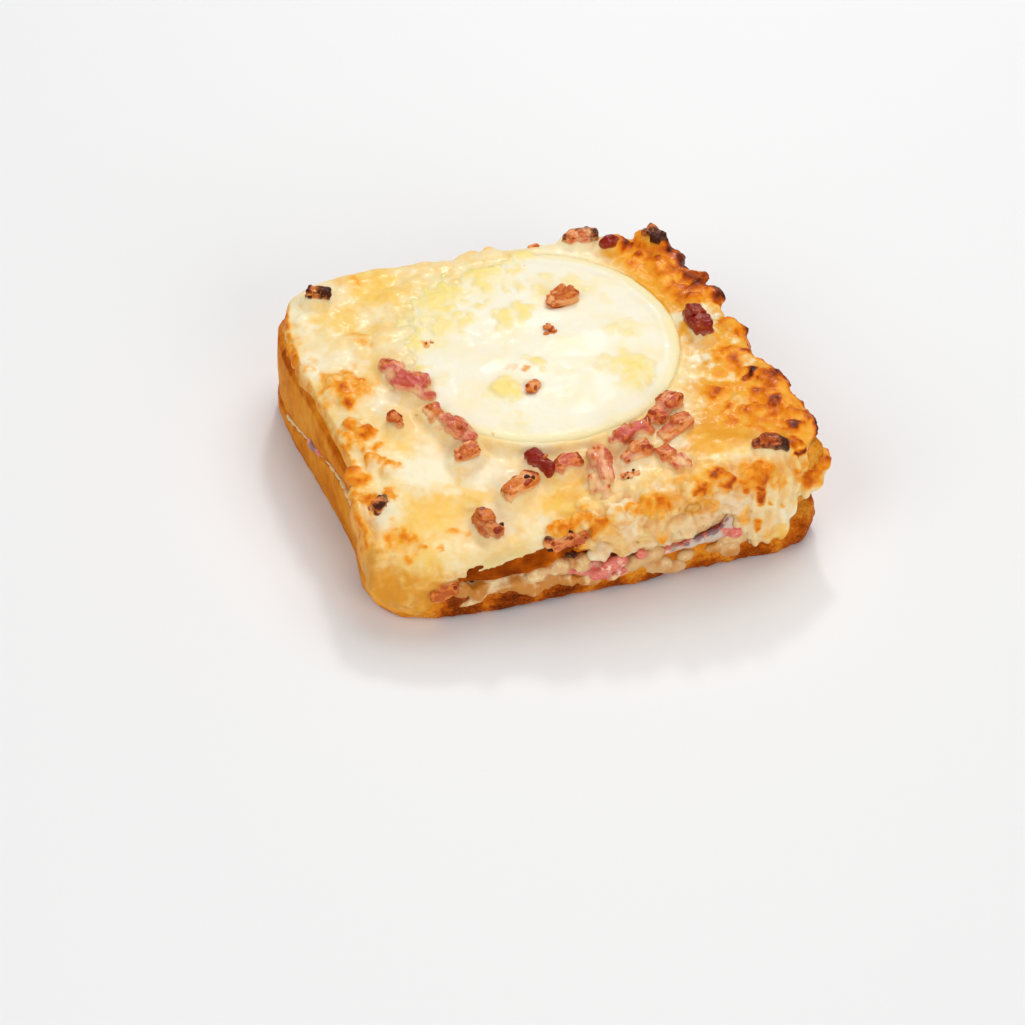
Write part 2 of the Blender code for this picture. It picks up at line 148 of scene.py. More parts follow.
def paint(piece, **layers):  # keeps a number or a vector for each point
    for name, values in layers.items():
        values = np.asarray(values)
        if values.ndim == 0:
            values = np.full(len(piece.data.vertices), values)
        kind, field = ("FLOAT", "value") if values.ndim == 1 else ("FLOAT_VECTOR", "vector")
        layer = piece.data.attributes.new(name, kind, "POINT")
        layer.data.foreach_set(field, values.astype(np.float32).ravel())


def coat(piece, material):
    piece.data.shade_smooth()
    piece.data.materials.append(material)


def thin(piece, ratio, chosen):  # fewer faces where nobody looks
    pickOnly(piece)
    faces = piece.data.polygons
    picked = chosen(readRows(faces, "center") / mm, readRows(faces, "normal"))
    bpy.ops.object.mode_set(mode="EDIT")
    bpy.ops.mesh.select_mode(type="FACE")
    bpy.ops.mesh.select_all(action="DESELECT")
    bpy.ops.object.mode_set(mode="OBJECT")
    piece.data.polygons.foreach_set("select", picked)
    bpy.ops.object.mode_set(mode="EDIT")
    bpy.ops.mesh.decimate(ratio=ratio)
    bpy.ops.mesh.select_mode(type="VERT")
    bpy.ops.object.mode_set(mode="OBJECT")


def ease(low, high, values):  # 0 below low, 1 above high, smooth between
    part = np.clip((values - low) / (high - low), 0, 1)
    return part * part * (3 - 2 * part)


def easeX(low, high, places):
    return ease(low, high, places[:, 0])


def easeY(low, high, places):
    return ease(low, high, places[:, 1])


def easeZ(low, high, places):
    return ease(low, high, places[:, 2])


def scramble(cells, seed):  # one repeatable number from 0 to 1 for each lattice cell
    mixed = cells[:, 0] * 73856093 ^ cells[:, 1] * 19349663 ^ cells[:, 2] * 83492791
    mixed = (mixed + seed * 7919) & 0xFFFFFFFF
    mixed = ((mixed ^ (mixed >> 15)) * 2246822519) & 0xFFFFFFFF
    mixed = ((mixed ^ (mixed >> 13)) * 3266489917) & 0xFFFFFFFF
    return ((mixed ^ (mixed >> 16)) & 0xFFFF) / 65535.0


def softNoise(places, size, seed=0):  # smooth noise from -1 to 1
    spread = places / size + 31.7 * (seed + 1)
    cell = np.floor(spread).astype(np.int64)
    part = ease(0, 1, spread - cell)
    total = np.zeros(len(places))
    for corner in range(8):
        step = np.array([corner & 1, corner >> 1 & 1, corner >> 2 & 1])
        weight = np.prod(np.where(step, part, 1 - part), axis=1)
        total += weight * scramble(cell + step, seed)
    return 2 * total - 1


def roughNoise(places, size, layers, seed=0):  # layers of it, each about half the size of the last
    total = np.zeros(len(places))
    for layer in range(layers):
        total += softNoise(places, size / 1.9 ** layer, seed + layer) / 1.9 ** layer
    return total


# distance to the nearest of many scattered middles, and that middle's own number
def bubbles(places, size, seed=0):
    spread = places / size + 13.1 * (seed + 1)
    cell = np.floor(spread).astype(np.int64)
    nearest = np.full(len(places), 9.0)
    own = np.zeros(len(places))
    for corner in range(27):
        spot = cell + np.array([corner % 3 - 1, corner // 3 % 3 - 1, corner // 9 - 1])
        middle = spot + np.stack([scramble(spot, seed + k) for k in (1, 2, 3)], axis=1)
        away = np.linalg.norm(spread - middle, axis=1)
        closer = away < nearest
        nearest = np.where(closer, away, nearest)
        own = np.where(closer, scramble(spot, seed + 4), own)
    return nearest, own


def warped(places, amount, size, seed):  # the same places shaken by smooth noise
    shake = [roughNoise(places, size, 3, seed + 10 * k) for k in range(3)]
    return places + amount * np.stack(shake, axis=1)


# the strongest of many ragged patches at each place: x, y, z, reach, amount
def spots(places, table, ragged=1.2, seed=5, inner=0.3, outer=1.3):
    best = np.zeros(len(places))
    shaken = warped(places, ragged, 3.0, seed)
    for x, y, z, reach, amount in table:
        away = np.linalg.norm(shaken - (x, y, z), axis=1) / reach
        best = np.maximum(best, amount * (1 - ease(inner, outer, away)))
    return best


def swell(places, table):  # smooth pushes added up: x, y, z, reach, amount
    total = np.zeros(len(places))
    for x, y, z, reach, amount in table:
        away = np.linalg.norm(places - (x, y, z), axis=1) / reach
        total += amount * (1 - ease(0, 1, away))
    return total


# shader maths: a socket that takes the usual signs

class Wire:
    def __init__(self, recipe, socket):
        self.recipe = recipe
        self.socket = socket

    def sum(self, operation, first, second):
        return self.recipe.node("ShaderNodeMath", {"operation": operation}, {0: first, 1: second})

    def __add__(self, other):
        return self.sum("ADD", self, other)

    def __radd__(self, other):
        return self.sum("ADD", other, self)

    def __sub__(self, other):
        return self.sum("SUBTRACT", self, other)

    def __rsub__(self, other):
        return self.sum("SUBTRACT", other, self)

    def __mul__(self, other):
        return self.sum("MULTIPLY", self, other)

    def __rmul__(self, other):
        return self.sum("MULTIPLY", other, self)


class Recipe:  # one material under way
    def __init__(self, name, **fixed):
        self.material = bpy.data.materials.new(name)
        self.material.use_nodes = True
        self.tree = self.material.node_tree
        self.shader = self.tree.nodes["Principled BSDF"]
        for socket, value in fixed.items():
            self.shader.inputs[socket.replace("_", " ")].default_value = value

    def node(self, kind, settings, values, output=0):
        made = self.tree.nodes.new(kind)
        for name, value in settings.items():
            if name == "stops":
                self.fillRamp(made.color_ramp, value)
            else:
                setattr(made, name, value)
        for name, value in values.items():
            self.feed(made.inputs[name], value)
        return Wire(self, made.outputs[output])

    def fillRamp(self, ramp, stops):
        while len(ramp.elements) < len(stops):
            ramp.elements.new(1.0)
        for element, (place, colour) in zip(ramp.elements, stops):
            element.position = place
            element.color = (*colour, 1)

    def feed(self, socket, value):
        if isinstance(value, Wire):
            self.tree.links.new(value.socket, socket)
        elif isinstance(value, tuple) and len(value) == 3 and socket.type == "RGBA":
            socket.default_value = (*value, 1)
        else:
            socket.default_value = value

    def give(self, **values):  # feeds the shader itself
        for name, value in values.items():
            self.feed(self.shader.inputs[name.replace("_", " ")], value)

    def place(self):
        return self.node("ShaderNodeTexCoord", {}, {}, "Object")

    def stored(self, name, output="Fac"):
        return self.node("ShaderNodeAttribute", {"attribute_name": name}, {}, output)

    def stretched(self, source, scale):
        return self.node("ShaderNodeMapping", {}, {"Vector": source, "Scale": scale})

    def noise(self, source, size, detail, roughness=0.5):  # 0 to 1, blotches about size mm across
        return self.node("ShaderNodeTexNoise", {}, {
            "Vector": source, "Scale": 1 / (size * mm), "Detail": detail, "Roughness": roughness})

    def cells(self, source, size, feature="F1"):
        return self.node("ShaderNodeTexVoronoi", {"feature": feature}, {
            "Vector": source, "Scale": 1 / (size * mm)}, "Distance")

    def range(self, value, low, high, start=0.0, end=1.0):
        return self.node("ShaderNodeMapRange", {"interpolation_type": "SMOOTHSTEP"}, {
            "Value": value, "From Min": low, "From Max": high, "To Min": start, "To Max": end})

    def mixed(self, mask, first, second):
        return self.node("ShaderNodeMix", {"data_type": "RGBA"}, {0: mask, 6: first, 7: second}, 2)

    def ramp(self, value, stops):
        return self.node("ShaderNodeValToRGB", {"stops": stops}, {"Fac": value})

    def bump(self, height, strength, depth):  # depth in mm
        return self.node("ShaderNodeBump", {}, {
            "Height": height, "Strength": strength, "Distance": depth * mm})


# camera, floor and light

view = {
    "cameraPlace": (-291.1, -807.1, 769.9),
    "cameraTurn": (47.387, -1.128, -18.369),
    "lens": 151,
    "farthest": 20,
    "floorSize": 6000,
    "floorColour": (0.86, 0.86, 0.86),
    "skyColour": (1.0, 1.0, 1.0),
    "skyStrength": 0.27,
    # place, diameter in metres, power
    "lamps": (
        ((350, 420, 1000), 0.9, 5.6),
        ((-700, -300, 700), 0.8, 3.1),
        ((250, -1100, 480), 0.9, 5.6),
        ((250, 650, 700), 0.12, 1.8),
    ),
}


def setCamera():
    bpy.ops.object.camera_add(
        location=[length * mm for length in view["cameraPlace"]],
        rotation=[math.radians(turn) for turn in view["cameraTurn"]])
    camera = bpy.context.active_object
    camera.data.lens = view["lens"]
    camera.data.clip_end = view["farthest"]
    bpy.context.scene.camera = camera


def layFloor():
    bpy.ops.mesh.primitive_plane_add(size=view["floorSize"] * mm, location=(0, 0, 0))
    floor = bpy.context.active_object
    floor.name = "paleFloor"
    recipe = Recipe("paleFloor", Roughness=0.6)
    recipe.give(Base_Color=view["floorColour"])
    floor.data.materials.append(recipe.material)


def setLights():
    scene = bpy.context.scene
    scene.world = bpy.data.worlds.new("studio")
    scene.world.use_nodes = True
    sky = scene.world.node_tree.nodes["Background"]
    sky.inputs["Color"].default_value = (*view["skyColour"], 1)
    sky.inputs["Strength"].default_value = view["skyStrength"]
    scene.view_settings.view_transform = "Standard"
    for place, size, power in view["lamps"]:
        spot = Vector(place) * mm
        bpy.ops.object.light_add(type="AREA", location=spot)
        lamp = bpy.context.active_object
        lamp.data.shape = "DISK"
        lamp.data.size = size
        lamp.data.energy = power
        lamp.rotation_euler = spot.to_track_quat("Z", "Y").to_euler()


setCamera()
layFloor()
setLights()
print("camera, floor and lights set")


# bread slices

breadLooks = {
    "voxel": 0.6,
    "seamGap": 1.8,
    "crustStops": (
        (0.0, (0.92, 0.47, 0.07)),
        (0.3, (0.80, 0.28, 0.018)),
        (0.55, (0.54, 0.11, 0.003)),
        (0.8, (0.22, 0.032, 0.001)),
        (1.0, (0.04, 0.009, 0.001)),
    ),
}

# patches on the slices' sides: x, y, z, reach, amount of toasting
bottomToast = (
    (-62, 20, 4, 14, 0.36), (-62, -5, 6, 14, 0.38), (-60, -28, 5, 12, 0.38), (-55, -46, 2, 9, 0.35),
    (-38, -52, 3, 9, 0.8), (-25, -53, 3, 9, 0.84), (-12, -53, 3, 9, 0.8), (2, -53, 1, 8, 0.74),
    (14, -53, 0, 8, 0.76), (28, -53, 0, 8, 0.72), (42, -53, 1, 9, 0.72), (54, -50, 3, 9, 0.66),
    (60, -44, 6, 8, 0.45), (62, -20, 6, 12, 0.5), (58, 10, 6, 16, 0.5), (50, 35, 6, 16, 0.5),
    (20, 53, 6, 24, 0.5), (-25, 53, 6, 24, 0.5), (-55, 42, 6, 12, 0.45), (20, -54, 7, 6, 0.42),
    (58, -47, 1, 6, 0.66),
)
topToast = (
    (-62, 24, 22, 12, 0.25), (-61, 5, 22, 13, 0.26), (-61, -14, 21, 12, 0.28), (-60, -32, 16, 10, 0.36),
    (-62, 30, 28, 8, 0.45), (-61, 12, 29, 6, 0.42), (-61, -10, 29, 6, 0.4), (-34, -53, 15, 8, 0.72),
    (-27, -53, 15, 8, 0.74), (-20, -53, 16, 7, 0.72), (-10, -53, 17, 6, 0.66), (60, -46, 22, 9, 0.5),
    (61, -20, 20, 12, 0.5), (57, 10, 20, 16, 0.55), (48, 36, 20, 14, 0.55), (15, 53, 20, 22, 0.5),
    (-25, 53, 20, 22, 0.5), (-55, 42, 20, 10, 0.4),
)

# pushes that shape the slices' sides: x, y, z, reach, depth
bottomSwell = (
    (50, -52, 3, 13, 2.4), (58, -49, 4, 8, 1.2), (10, -54, 3, 22, 0.9), (-20, -53, 3, 20, 0.5),
    (36, -54, 3, 14, 1), (-62, 15, 5, 26, -1), (-61, -20, 6, 22, -1.2),
)
topSwell = (
    (59, -48, 22, 9, 1.4), (-62, 20, 20, 26, -0.6), (-61, -20, 20, 22, -1), (-28, -53, 14, 10, 1),
)

# the seam between the slices along the left side: y, x of the wall, z
leftSeam = (
    (-40, -59.6, 9.2), (-30, -59.4, 17), (-20, -58.7, 17.5), (-10, -58.7, 17.2), (0, -59.2, 15.5),
    (10, -60.2, 13.1), (20, -61.3, 10.2), (28, -61.6, 7.4), (44, -58.6, 7),
)


def seamAt(y):  # x of the wall and z of the seam
    along, wall, height = np.array(leftSeam).T
    return np.interp(y, along, wall), np.interp(y, along, height)


def towardsLeft(places):  # how far out towards the left and the back left corner
    return np.hypot(np.maximum(-46 - places[:, 0], 0), np.maximum(places[:, 1] - 38, 0))


def moveSeam(places, far, near):  # closes the slices' edges on each other along the left
    atLeft = ease(8, 13, towardsLeft(places)) * easeY(-44, -34, places) * easeY(54, 46, places)
    return breadLooks["seamGap"] * atLeft * ease(far, near, places[:, 2] - seamAt(places[:, 1])[1])


def shapeBottom(places):
    places[:, 2] += moveSeam(places, -7, -1.5)
    low = easeZ(3.5, 0.5, places) * easeY(-48, -52, places)
    places[:, 2] += low * 0.7 * ease(-0.2, 0.9, softNoise(places * (1, 1, 0), 5, 17))


def shapeTop(places):
    places[:, 2] -= moveSeam(places, 8, 1.5)
    rim = ease(10.5, 14, towardsLeft(places)) * easeY(-46, -28, places) * easeY(56, 42, places)
    rim *= 0.8 + 0.3 * softNoise(places * (1, 1, 0), 7, 18)
    rim = np.maximum(rim, easeX(53, 58, places) * easeY(-38, -43, places))
    places[:, 2] += 3.6 * rim * easeZ(14, 25, places)  # the crust stands up round the gratin
    # the bare strip at the front
    strip = easeX(-40, -34, places) * easeX(-10, -16, places) * easeY(-50, -52.5, places)
    places[:, 2] -= 2.4 * strip * easeX(-26, -18, places) * easeZ(20, 15, places)


def makeCrustMaterial():
    recipe = Recipe(
        "toastedCrust", Subsurface_Weight=0.06, Subsurface_Scale=mm, Subsurface_Radius=(1, 0.45, 0.2),
        Specular_IOR_Level=0.01, Coat_Roughness=0.18)
    where = recipe.place()
    toast = recipe.stored("toast")
    grit = recipe.stored("grit")
    streaky = recipe.stored("streaky")
    streaks = recipe.noise(recipe.stretched(where, (1, 1, 0.4)), 1.2, 4, 0.6)
    broad = recipe.noise(recipe.stretched(where, (1, 1, 1.6)), 11, 2)
    blotches = recipe.noise(where, 3.5, 4, 0.6)
    fine = recipe.noise(where, 0.5, 3, 0.6)
    level = toast + (streaks - 0.5) * 0.22 * streaky + (blotches - 0.5) * 0.34 + (broad - 0.5) * 0.3
    level = level + (fine - 0.5) * 0.5 * (0.3 + grit)
    level = level - (0.6 - recipe.cells(where, 1.1)) * 0.2 * grit
    pits = recipe.cells(where, 1.3)
    height = streaks * 0.5 * streaky + fine * (0.4 + 1.2 * grit) + pits * (0.1 + 0.8 * grit)
    recipe.give(
        Base_Color=recipe.ramp(level, breadLooks["crustStops"]),
        Roughness=0.36 + 0.25 * blotches + 0.12 * grit,
        Coat_Weight=0.01 + 0.06 * grit,
        Normal=recipe.bump(height, 0.6, 0.5))
    return recipe.material


crustMaterial = makeCrustMaterial()


def makeSlice(node, name, toastSpots, swells, shape):
    piece = copyOfNode(node, name)
    fuse(piece, breadLooks["voxel"], 8)
    thin(piece, 0.1, lambda middles, facing: (np.abs(facing[:, 2]) > 0.8) & (np.abs(middles[:, 0]) < 54))
    places = placesOf(piece)
    normals = normalsOf(piece)
    side = 1 - ease(0.55, 0.95, np.abs(normals[:, 2]))
    atFront = easeY(-44, -50, places)
    ripple = roughNoise(places * (1, 1, 0.35), 7, 3, 11)
    wrinkles = roughNoise(places * (1, 1, 0.25), 2.2, 2, 12) * (1 - 0.8 * atFront)
    away, own = bubbles(places, 2, 21)
    grains = np.clip(0.7 - away, 0, 1) * own
    gritty = np.maximum(atFront * easeZ(10, 5, places), easeX(50, 55, places) * easeY(-36, -44, places))
    bumps = 0.3 * ripple + 0.14 * wrinkles + (0.15 * atFront + 0.7 * gritty) * grains
    push = side * (bumps + swell(places, swells))
    places = places + normals * push[:, None]
    shape(places)
    places[:, 2] = np.maximum(places[:, 2], 0)
    movePlaces(piece, places)
    toast = spots(places, toastSpots, 1.5, 7)
    toast = np.maximum(toast, 0.3 + 0.1 * roughNoise(places, 9, 2, 3))
    steep = np.abs(normals[:, 2])
    toast += (0.16 * side * ease(0.1, 0.5, steep) + 0.05 * ripple + 0.05 * wrinkles) * (1 - atFront)
    paint(piece, toast=toast, grit=gritty, streaky=easeX(-0.2, -0.6, normals))
    coat(piece, crustMaterial)
    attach(piece, "root")
    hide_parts(node)


makeSlice("bread_slice_bottom", "breadBottom", bottomToast, bottomSwell, shapeBottom)
makeSlice("bread_slice_top", "breadTop", topToast, topSwell, shapeTop)
print("bread slices baked")


# ham and sauce between the slices

fillingLooks = {
    "voxel": 0.5,
    "hamPink": (0.86, 0.30, 0.22),
    "hamRed": (0.74, 0.12, 0.08),
    "hamFat": (0.95, 0.72, 0.50),
    "hamGrey": (0.28, 0.15, 0.17),
    "hamPale": (0.68, 0.54, 0.43),
    "sauceCream": (0.90, 0.66, 0.34),
    "sauceBeige": (0.75, 0.45, 0.18),
    "sauceGold": (0.62, 0.24, 0.025),
}


def makeHamMaterial():
    recipe = Recipe(
        "cookedHam", Subsurface_Weight=0.3, Subsurface_Scale=1.5 * mm, Subsurface_Radius=(1, 0.4, 0.3),
        Roughness=0.32, Specular_IOR_Level=0.3, Coat_Weight=0.4)
    where = recipe.place()
    fibres = recipe.noise(recipe.stretched(where, (1, 1, 2.2)), 1.6, 4, 0.6)
    fat = recipe.range(recipe.noise(where, 2.4, 3, 0.6), 0.54, 0.68)
    colour = recipe.mixed(recipe.range(fibres, 0.35, 0.7), fillingLooks["hamRed"], fillingLooks["hamPink"])
    colour = recipe.mixed(fat * 0.8, colour, fillingLooks["hamFat"])
    colour = recipe.mixed(recipe.range(recipe.stored("pale"), 0.1, 0.5), colour, fillingLooks["hamPale"])
    colour = recipe.mixed(recipe.range(recipe.stored("grey"), 0.2, 0.6), colour, fillingLooks["hamGrey"])
    recipe.give(Base_Color=colour, Normal=recipe.bump(fibres, 0.6, 0.4))
    return recipe.material


def makeSauceMaterial():
    recipe = Recipe(
        "cheeseSauce", Subsurface_Weight=0.3, Subsurface_Scale=2 * mm, Subsurface_Radius=(1, 0.6, 0.3),
        Roughness=0.35, Specular_IOR_Level=0.3, Coat_Weight=0.4)
    where = recipe.place()
    blotches = recipe.noise(where, 3.0, 4, 0.65)
    fine = recipe.noise(where, 0.7, 3, 0.6)
    beige = recipe.range(blotches + recipe.stored("beige") * 0.16, 0.45, 0.62)
    colour = recipe.mixed(beige, fillingLooks["sauceCream"], fillingLooks["sauceBeige"])
    golden = recipe.range(recipe.stored("gold") * (0.5 + blotches), 0.15, 0.6)
    colour = recipe.mixed(golden, colour, fillingLooks["sauceGold"])
    recipe.give(Base_Color=colour, Normal=recipe.bump(blotches + fine * 0.5, 0.5, 0.6))
    return recipe.material


# folds of ham that stand out at the front, with a pale fatty edge at the right:
# middle, half sizes, turn, slope
hamFolds = (
    (1.6, -54.4, 10.2, 3.4, 1.8, 2.3, 0, 15), (-1.6, -54.4, 8, 2.9, 1.7, 1.8, 0, 20),
    (3.6, -54.6, 11.4, 2, 1.5, 1.6), (9.4, -55, 12.4, 1.5, 1.3, 1.3, 0, 10),
    (20.6, -54.8, 12.4, 3.8, 0.9, 0.6, 0, 24), (27.4, -55.2, 14.9, 3.6, 1, 0.6, 0, 14),
    (32, -54.9, 17.4, 2.6, 0.9, 0.6, 0, 60), (24.6, -54.4, 11.8, 4.2, 1.1, 1.3, 0, 14),
    (30, -54.2, 13.2, 2.6, 1.2, 1.7, 0, 20), (33.4, -54.1, 16.4, 1.4, 1.1, 2.2, 0, -15),
    (35.4, -54.8, 13.2, 2.1, 1.4, 1.7), (-60, 9.4, 13.4, 3.6, 1.1, 1.7, -90, 16),
    (-59.5, 4.6, 14.8, 2, 1, 1.2, -90, 16),
)
# its grey rind and the pale fat beside it: x, y, z, reach, amount
hamGrey = (
    (18.4, -56, 11.4, 1.8, 0.5), (21.5, -56, 12.8, 1.8, 0.7), (25, -56, 14.2, 1.9, 0.9),
    (28.5, -56, 15.4, 1.9, 1), (31, -56, 16.4, 1.7, 0.8), (32.4, -56, 19, 1.8, 0.6),
    (-61, 7.4, 14.6, 3.4, 0.5),
)
hamPale = (
    (19.5, -55.5, 10.8, 2.6, 0.7), (24.5, -55.5, 11.4, 3.4, 0.9), (29.5, -55.5, 12.8, 3, 0.8),
    (33.4, -55, 17, 2.4, 0.8), (33.6, -55, 20, 2.2, 0.7),
)


def hiddenLayer(middles, facing):  # the flat faces behind the front edge
    return (np.abs(facing[:, 2]) > 0.8) & (middles[:, 1] > -48)


def makeHam():
    piece = copyOfNode("ham_slice", "hamSlice")
    addBlobs(piece, hamFolds)
    fuse(piece, fillingLooks["voxel"], 2)
    thin(piece, 0.08, hiddenLayer)
    places = placesOf(piece)
    normals = normalsOf(piece)
    atFront = easeY(-42, -50, places)
    away, own = bubbles(places, 2.2, 35)
    push = atFront * (0.35 * roughNoise(places, 3, 3, 31) + 0.5 * (0.6 - away) * own)
    movePlaces(piece, places + normals * push[:, None])
    paint(piece, pale=spots(places, hamPale, 0.6, 10), grey=spots(places, hamGrey, 0.6, 9))
    coat(piece, makeHamMaterial())
    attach(piece, "root")
    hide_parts("ham_slice")


# drips and lumps of sauce at the front and the seam on the left: middle, half sizes, turn, slope
sauceLumps = [
    (-37.4, -52.2, 5.2, 1.8, 1, 1, 0, 20), (-34.6, -52.3, 6.4, 2.8, 1.1, 1.3, 0, 16),
    (-30.8, -52.6, 8, 3, 1.4, 1, 0, 12), (-26.6, -52.6, 9, 2.6, 1.4, 0.9, 0, 4),
    (-38.4, -51.8, 10.2, 2.6, 1.8, 3), (-33, -51.9, 9, 3.8, 1.6, 1.7, 0, 16),
    (-27.2, -52.3, 7.2, 3, 1.5, 2.2), (-22.4, -52.6, 7.8, 3.6, 1.6, 2.4),
    (-18.4, -52.8, 6.6, 2.6, 1.6, 1.8, 0, 20), (-15, -52.9, 7.8, 2.6, 1.6, 2.7),
    (-10.2, -53.1, 7, 3.4, 1.6, 2, 0, -12), (-17.4, -53, 11.4, 3.8, 1.8, 1.7, 0, 8),
    (-12.2, -53.2, 12.6, 3.8, 2, 2.3, 0, 14), (-6.6, -53.4, 12.4, 3, 2, 3), (-4, -53.5, 6.2, 3.4, 1.8, 2),
    (3, -53.6, 6.2, 3.6, 1.7, 1.5, 0, 10), (8.4, -53.8, 8.8, 3.4, 1.9, 2.3, 0, 20),
    (13.6, -53.7, 6.6, 4.4, 1.3, 2.8, 0, -14), (18.6, -53.5, 4.2, 4.2, 1.1, 1.8, 0, -10),
    (22.6, -53.6, 7.4, 2.6, 1.1, 1.6), (12.6, -53.8, 10.4, 3.4, 2, 2, 0, 10),
    (29.6, -53.6, 7.6, 2.4, 1.4, 1.9), (34.4, -53.6, 6, 3, 1.5, 2.3, 0, -14),
    (37.6, -53.4, 10.6, 3, 1.9, 3.2), (33.4, -53.4, 10.4, 2.6, 1.6, 1.8),
]
for y in range(-28, 37, 4):  # the pale seam along the left side
    wall, seam = seamAt(y)
    slope = math.degrees(math.atan2(seamAt(y - 2)[1] - seamAt(y + 2)[1], 4))
    sauceLumps.append((wall + 0.9, y, seam, 2.7, 1.0, 0.7, -90, slope))
for x in range(-44, 42, 6):  # and deeper in along the back
    wall = np.interp(x, (-48, -30, 0, 30, 44), (51.0, 52.2, 50.6, 48.4, 41.6))
    sauceLumps.append((x, wall - 1.5, 12.1, 4.4, 1.5, 0.8 + 0.15 * (x % 4)))
for y in range(-36, 38, 6):  # and the right
    wall = np.interp(y, (-30, -10, 10, 30, 42), (59.4, 56.4, 52.8, 48.8, 42.6))
    sauceLumps.append((wall - 1.5, y, 12.0, 4.4, 1.5, 0.8 + 0.15 * (y % 4), -80, 0))

# golden, half see-through drips under the bare strip: x, y, z, reach, amount
sauceGold = (
    (-27.5, -54, 6.4, 3, 0.8), (-22.4, -54, 7, 3.4, 1), (-17.4, -54, 6.4, 3.2, 1),
    (-12.6, -54, 6.6, 3, 0.9), (-8, -54, 6.4, 3, 0.8), (-34, -53, 9.4, 3.2, 0.9), (30, -54.5, 8, 3, 0.5),
    (-3.6, -55, 5.4, 2.4, 0.5), (18, -55, 4, 3, 0.4), (-38.4, -53, 9.6, 4, 0.9), (-24, -54, 10.6, 4.4, 0.6),
    (-14, -55, 9.6, 3.4, 0.6), (14, -55.5, 8.4, 4, 0.5), (34.6, -55, 5.6, 3, 0.5),
    (-9.6, -55.6, 13.6, 3, 0.4),
)


def makeSauce():
    piece = copyOfNode("cheese_sauce", "cheeseSauce")
    addBlobs(piece, sauceLumps)
    fuse(piece, fillingLooks["voxel"], 6)
    thin(piece, 0.08, hiddenLayer)
    places = placesOf(piece)
    normals = normalsOf(piece)
    atFront = easeY(-42, -50, places)
    away, own = bubbles(places, 2.2, 41)
    grains = 0.3 * np.clip(0.75 - away, 0, 1) * own
    paint(
        piece, beige=easeY(-40, -48, places) * (0.45 + 0.55 * easeX(2, 12, places)),
        gold=spots(places, sauceGold, 0.8, 14))
    push = atFront * (0.6 * roughNoise(places * (1, 1, 0.6), 3.2, 3, 33) + grains)
    movePlaces(piece, places + normals * push[:, None])
    coat(piece, makeSauceMaterial())
    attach(piece, "root")
    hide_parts("cheese_sauce")


makeHam()
makeSauce()
print("ham and sauce laid")


# gratin: melted cheese with blisters, browned lumps and lobes that hang down

roundMiddle = (2.3, 10.9)  # x, y of the goat's cheese that it is melted round

gratinLooks = {
    "firstVoxel": 0.6,
    "voxel": 0.52,
    "topCrumbs": 60,
    "edgeCrumbs": 110,
    # the collar of cheese round the goat's cheese: height, radius, thickness
    "collar": (30.2, 39.3, 1.3),
    "white": (0.94, 0.85, 0.62),
    "creamPale": (0.93, 0.75, 0.42),
    "creamDeep": (0.92, 0.64, 0.25),
    "yellow": (0.95, 0.58, 0.10),
    "beige": (0.81, 0.52, 0.27),
    "amber": (0.74, 0.31, 0.025),
    "golden": (0.82, 0.35, 0.018),
    "toastStops": (
        (0.0, (0.95, 0.60, 0.13)),
        (0.22, (0.93, 0.42, 0.035)),
        (0.42, (0.83, 0.24, 0.005)),
        (0.62, (0.52, 0.085, 0.001)),
        (0.82, (0.15, 0.018, 0.001)),
        (1.0, (0.025, 0.007, 0.003)),
    ),
}

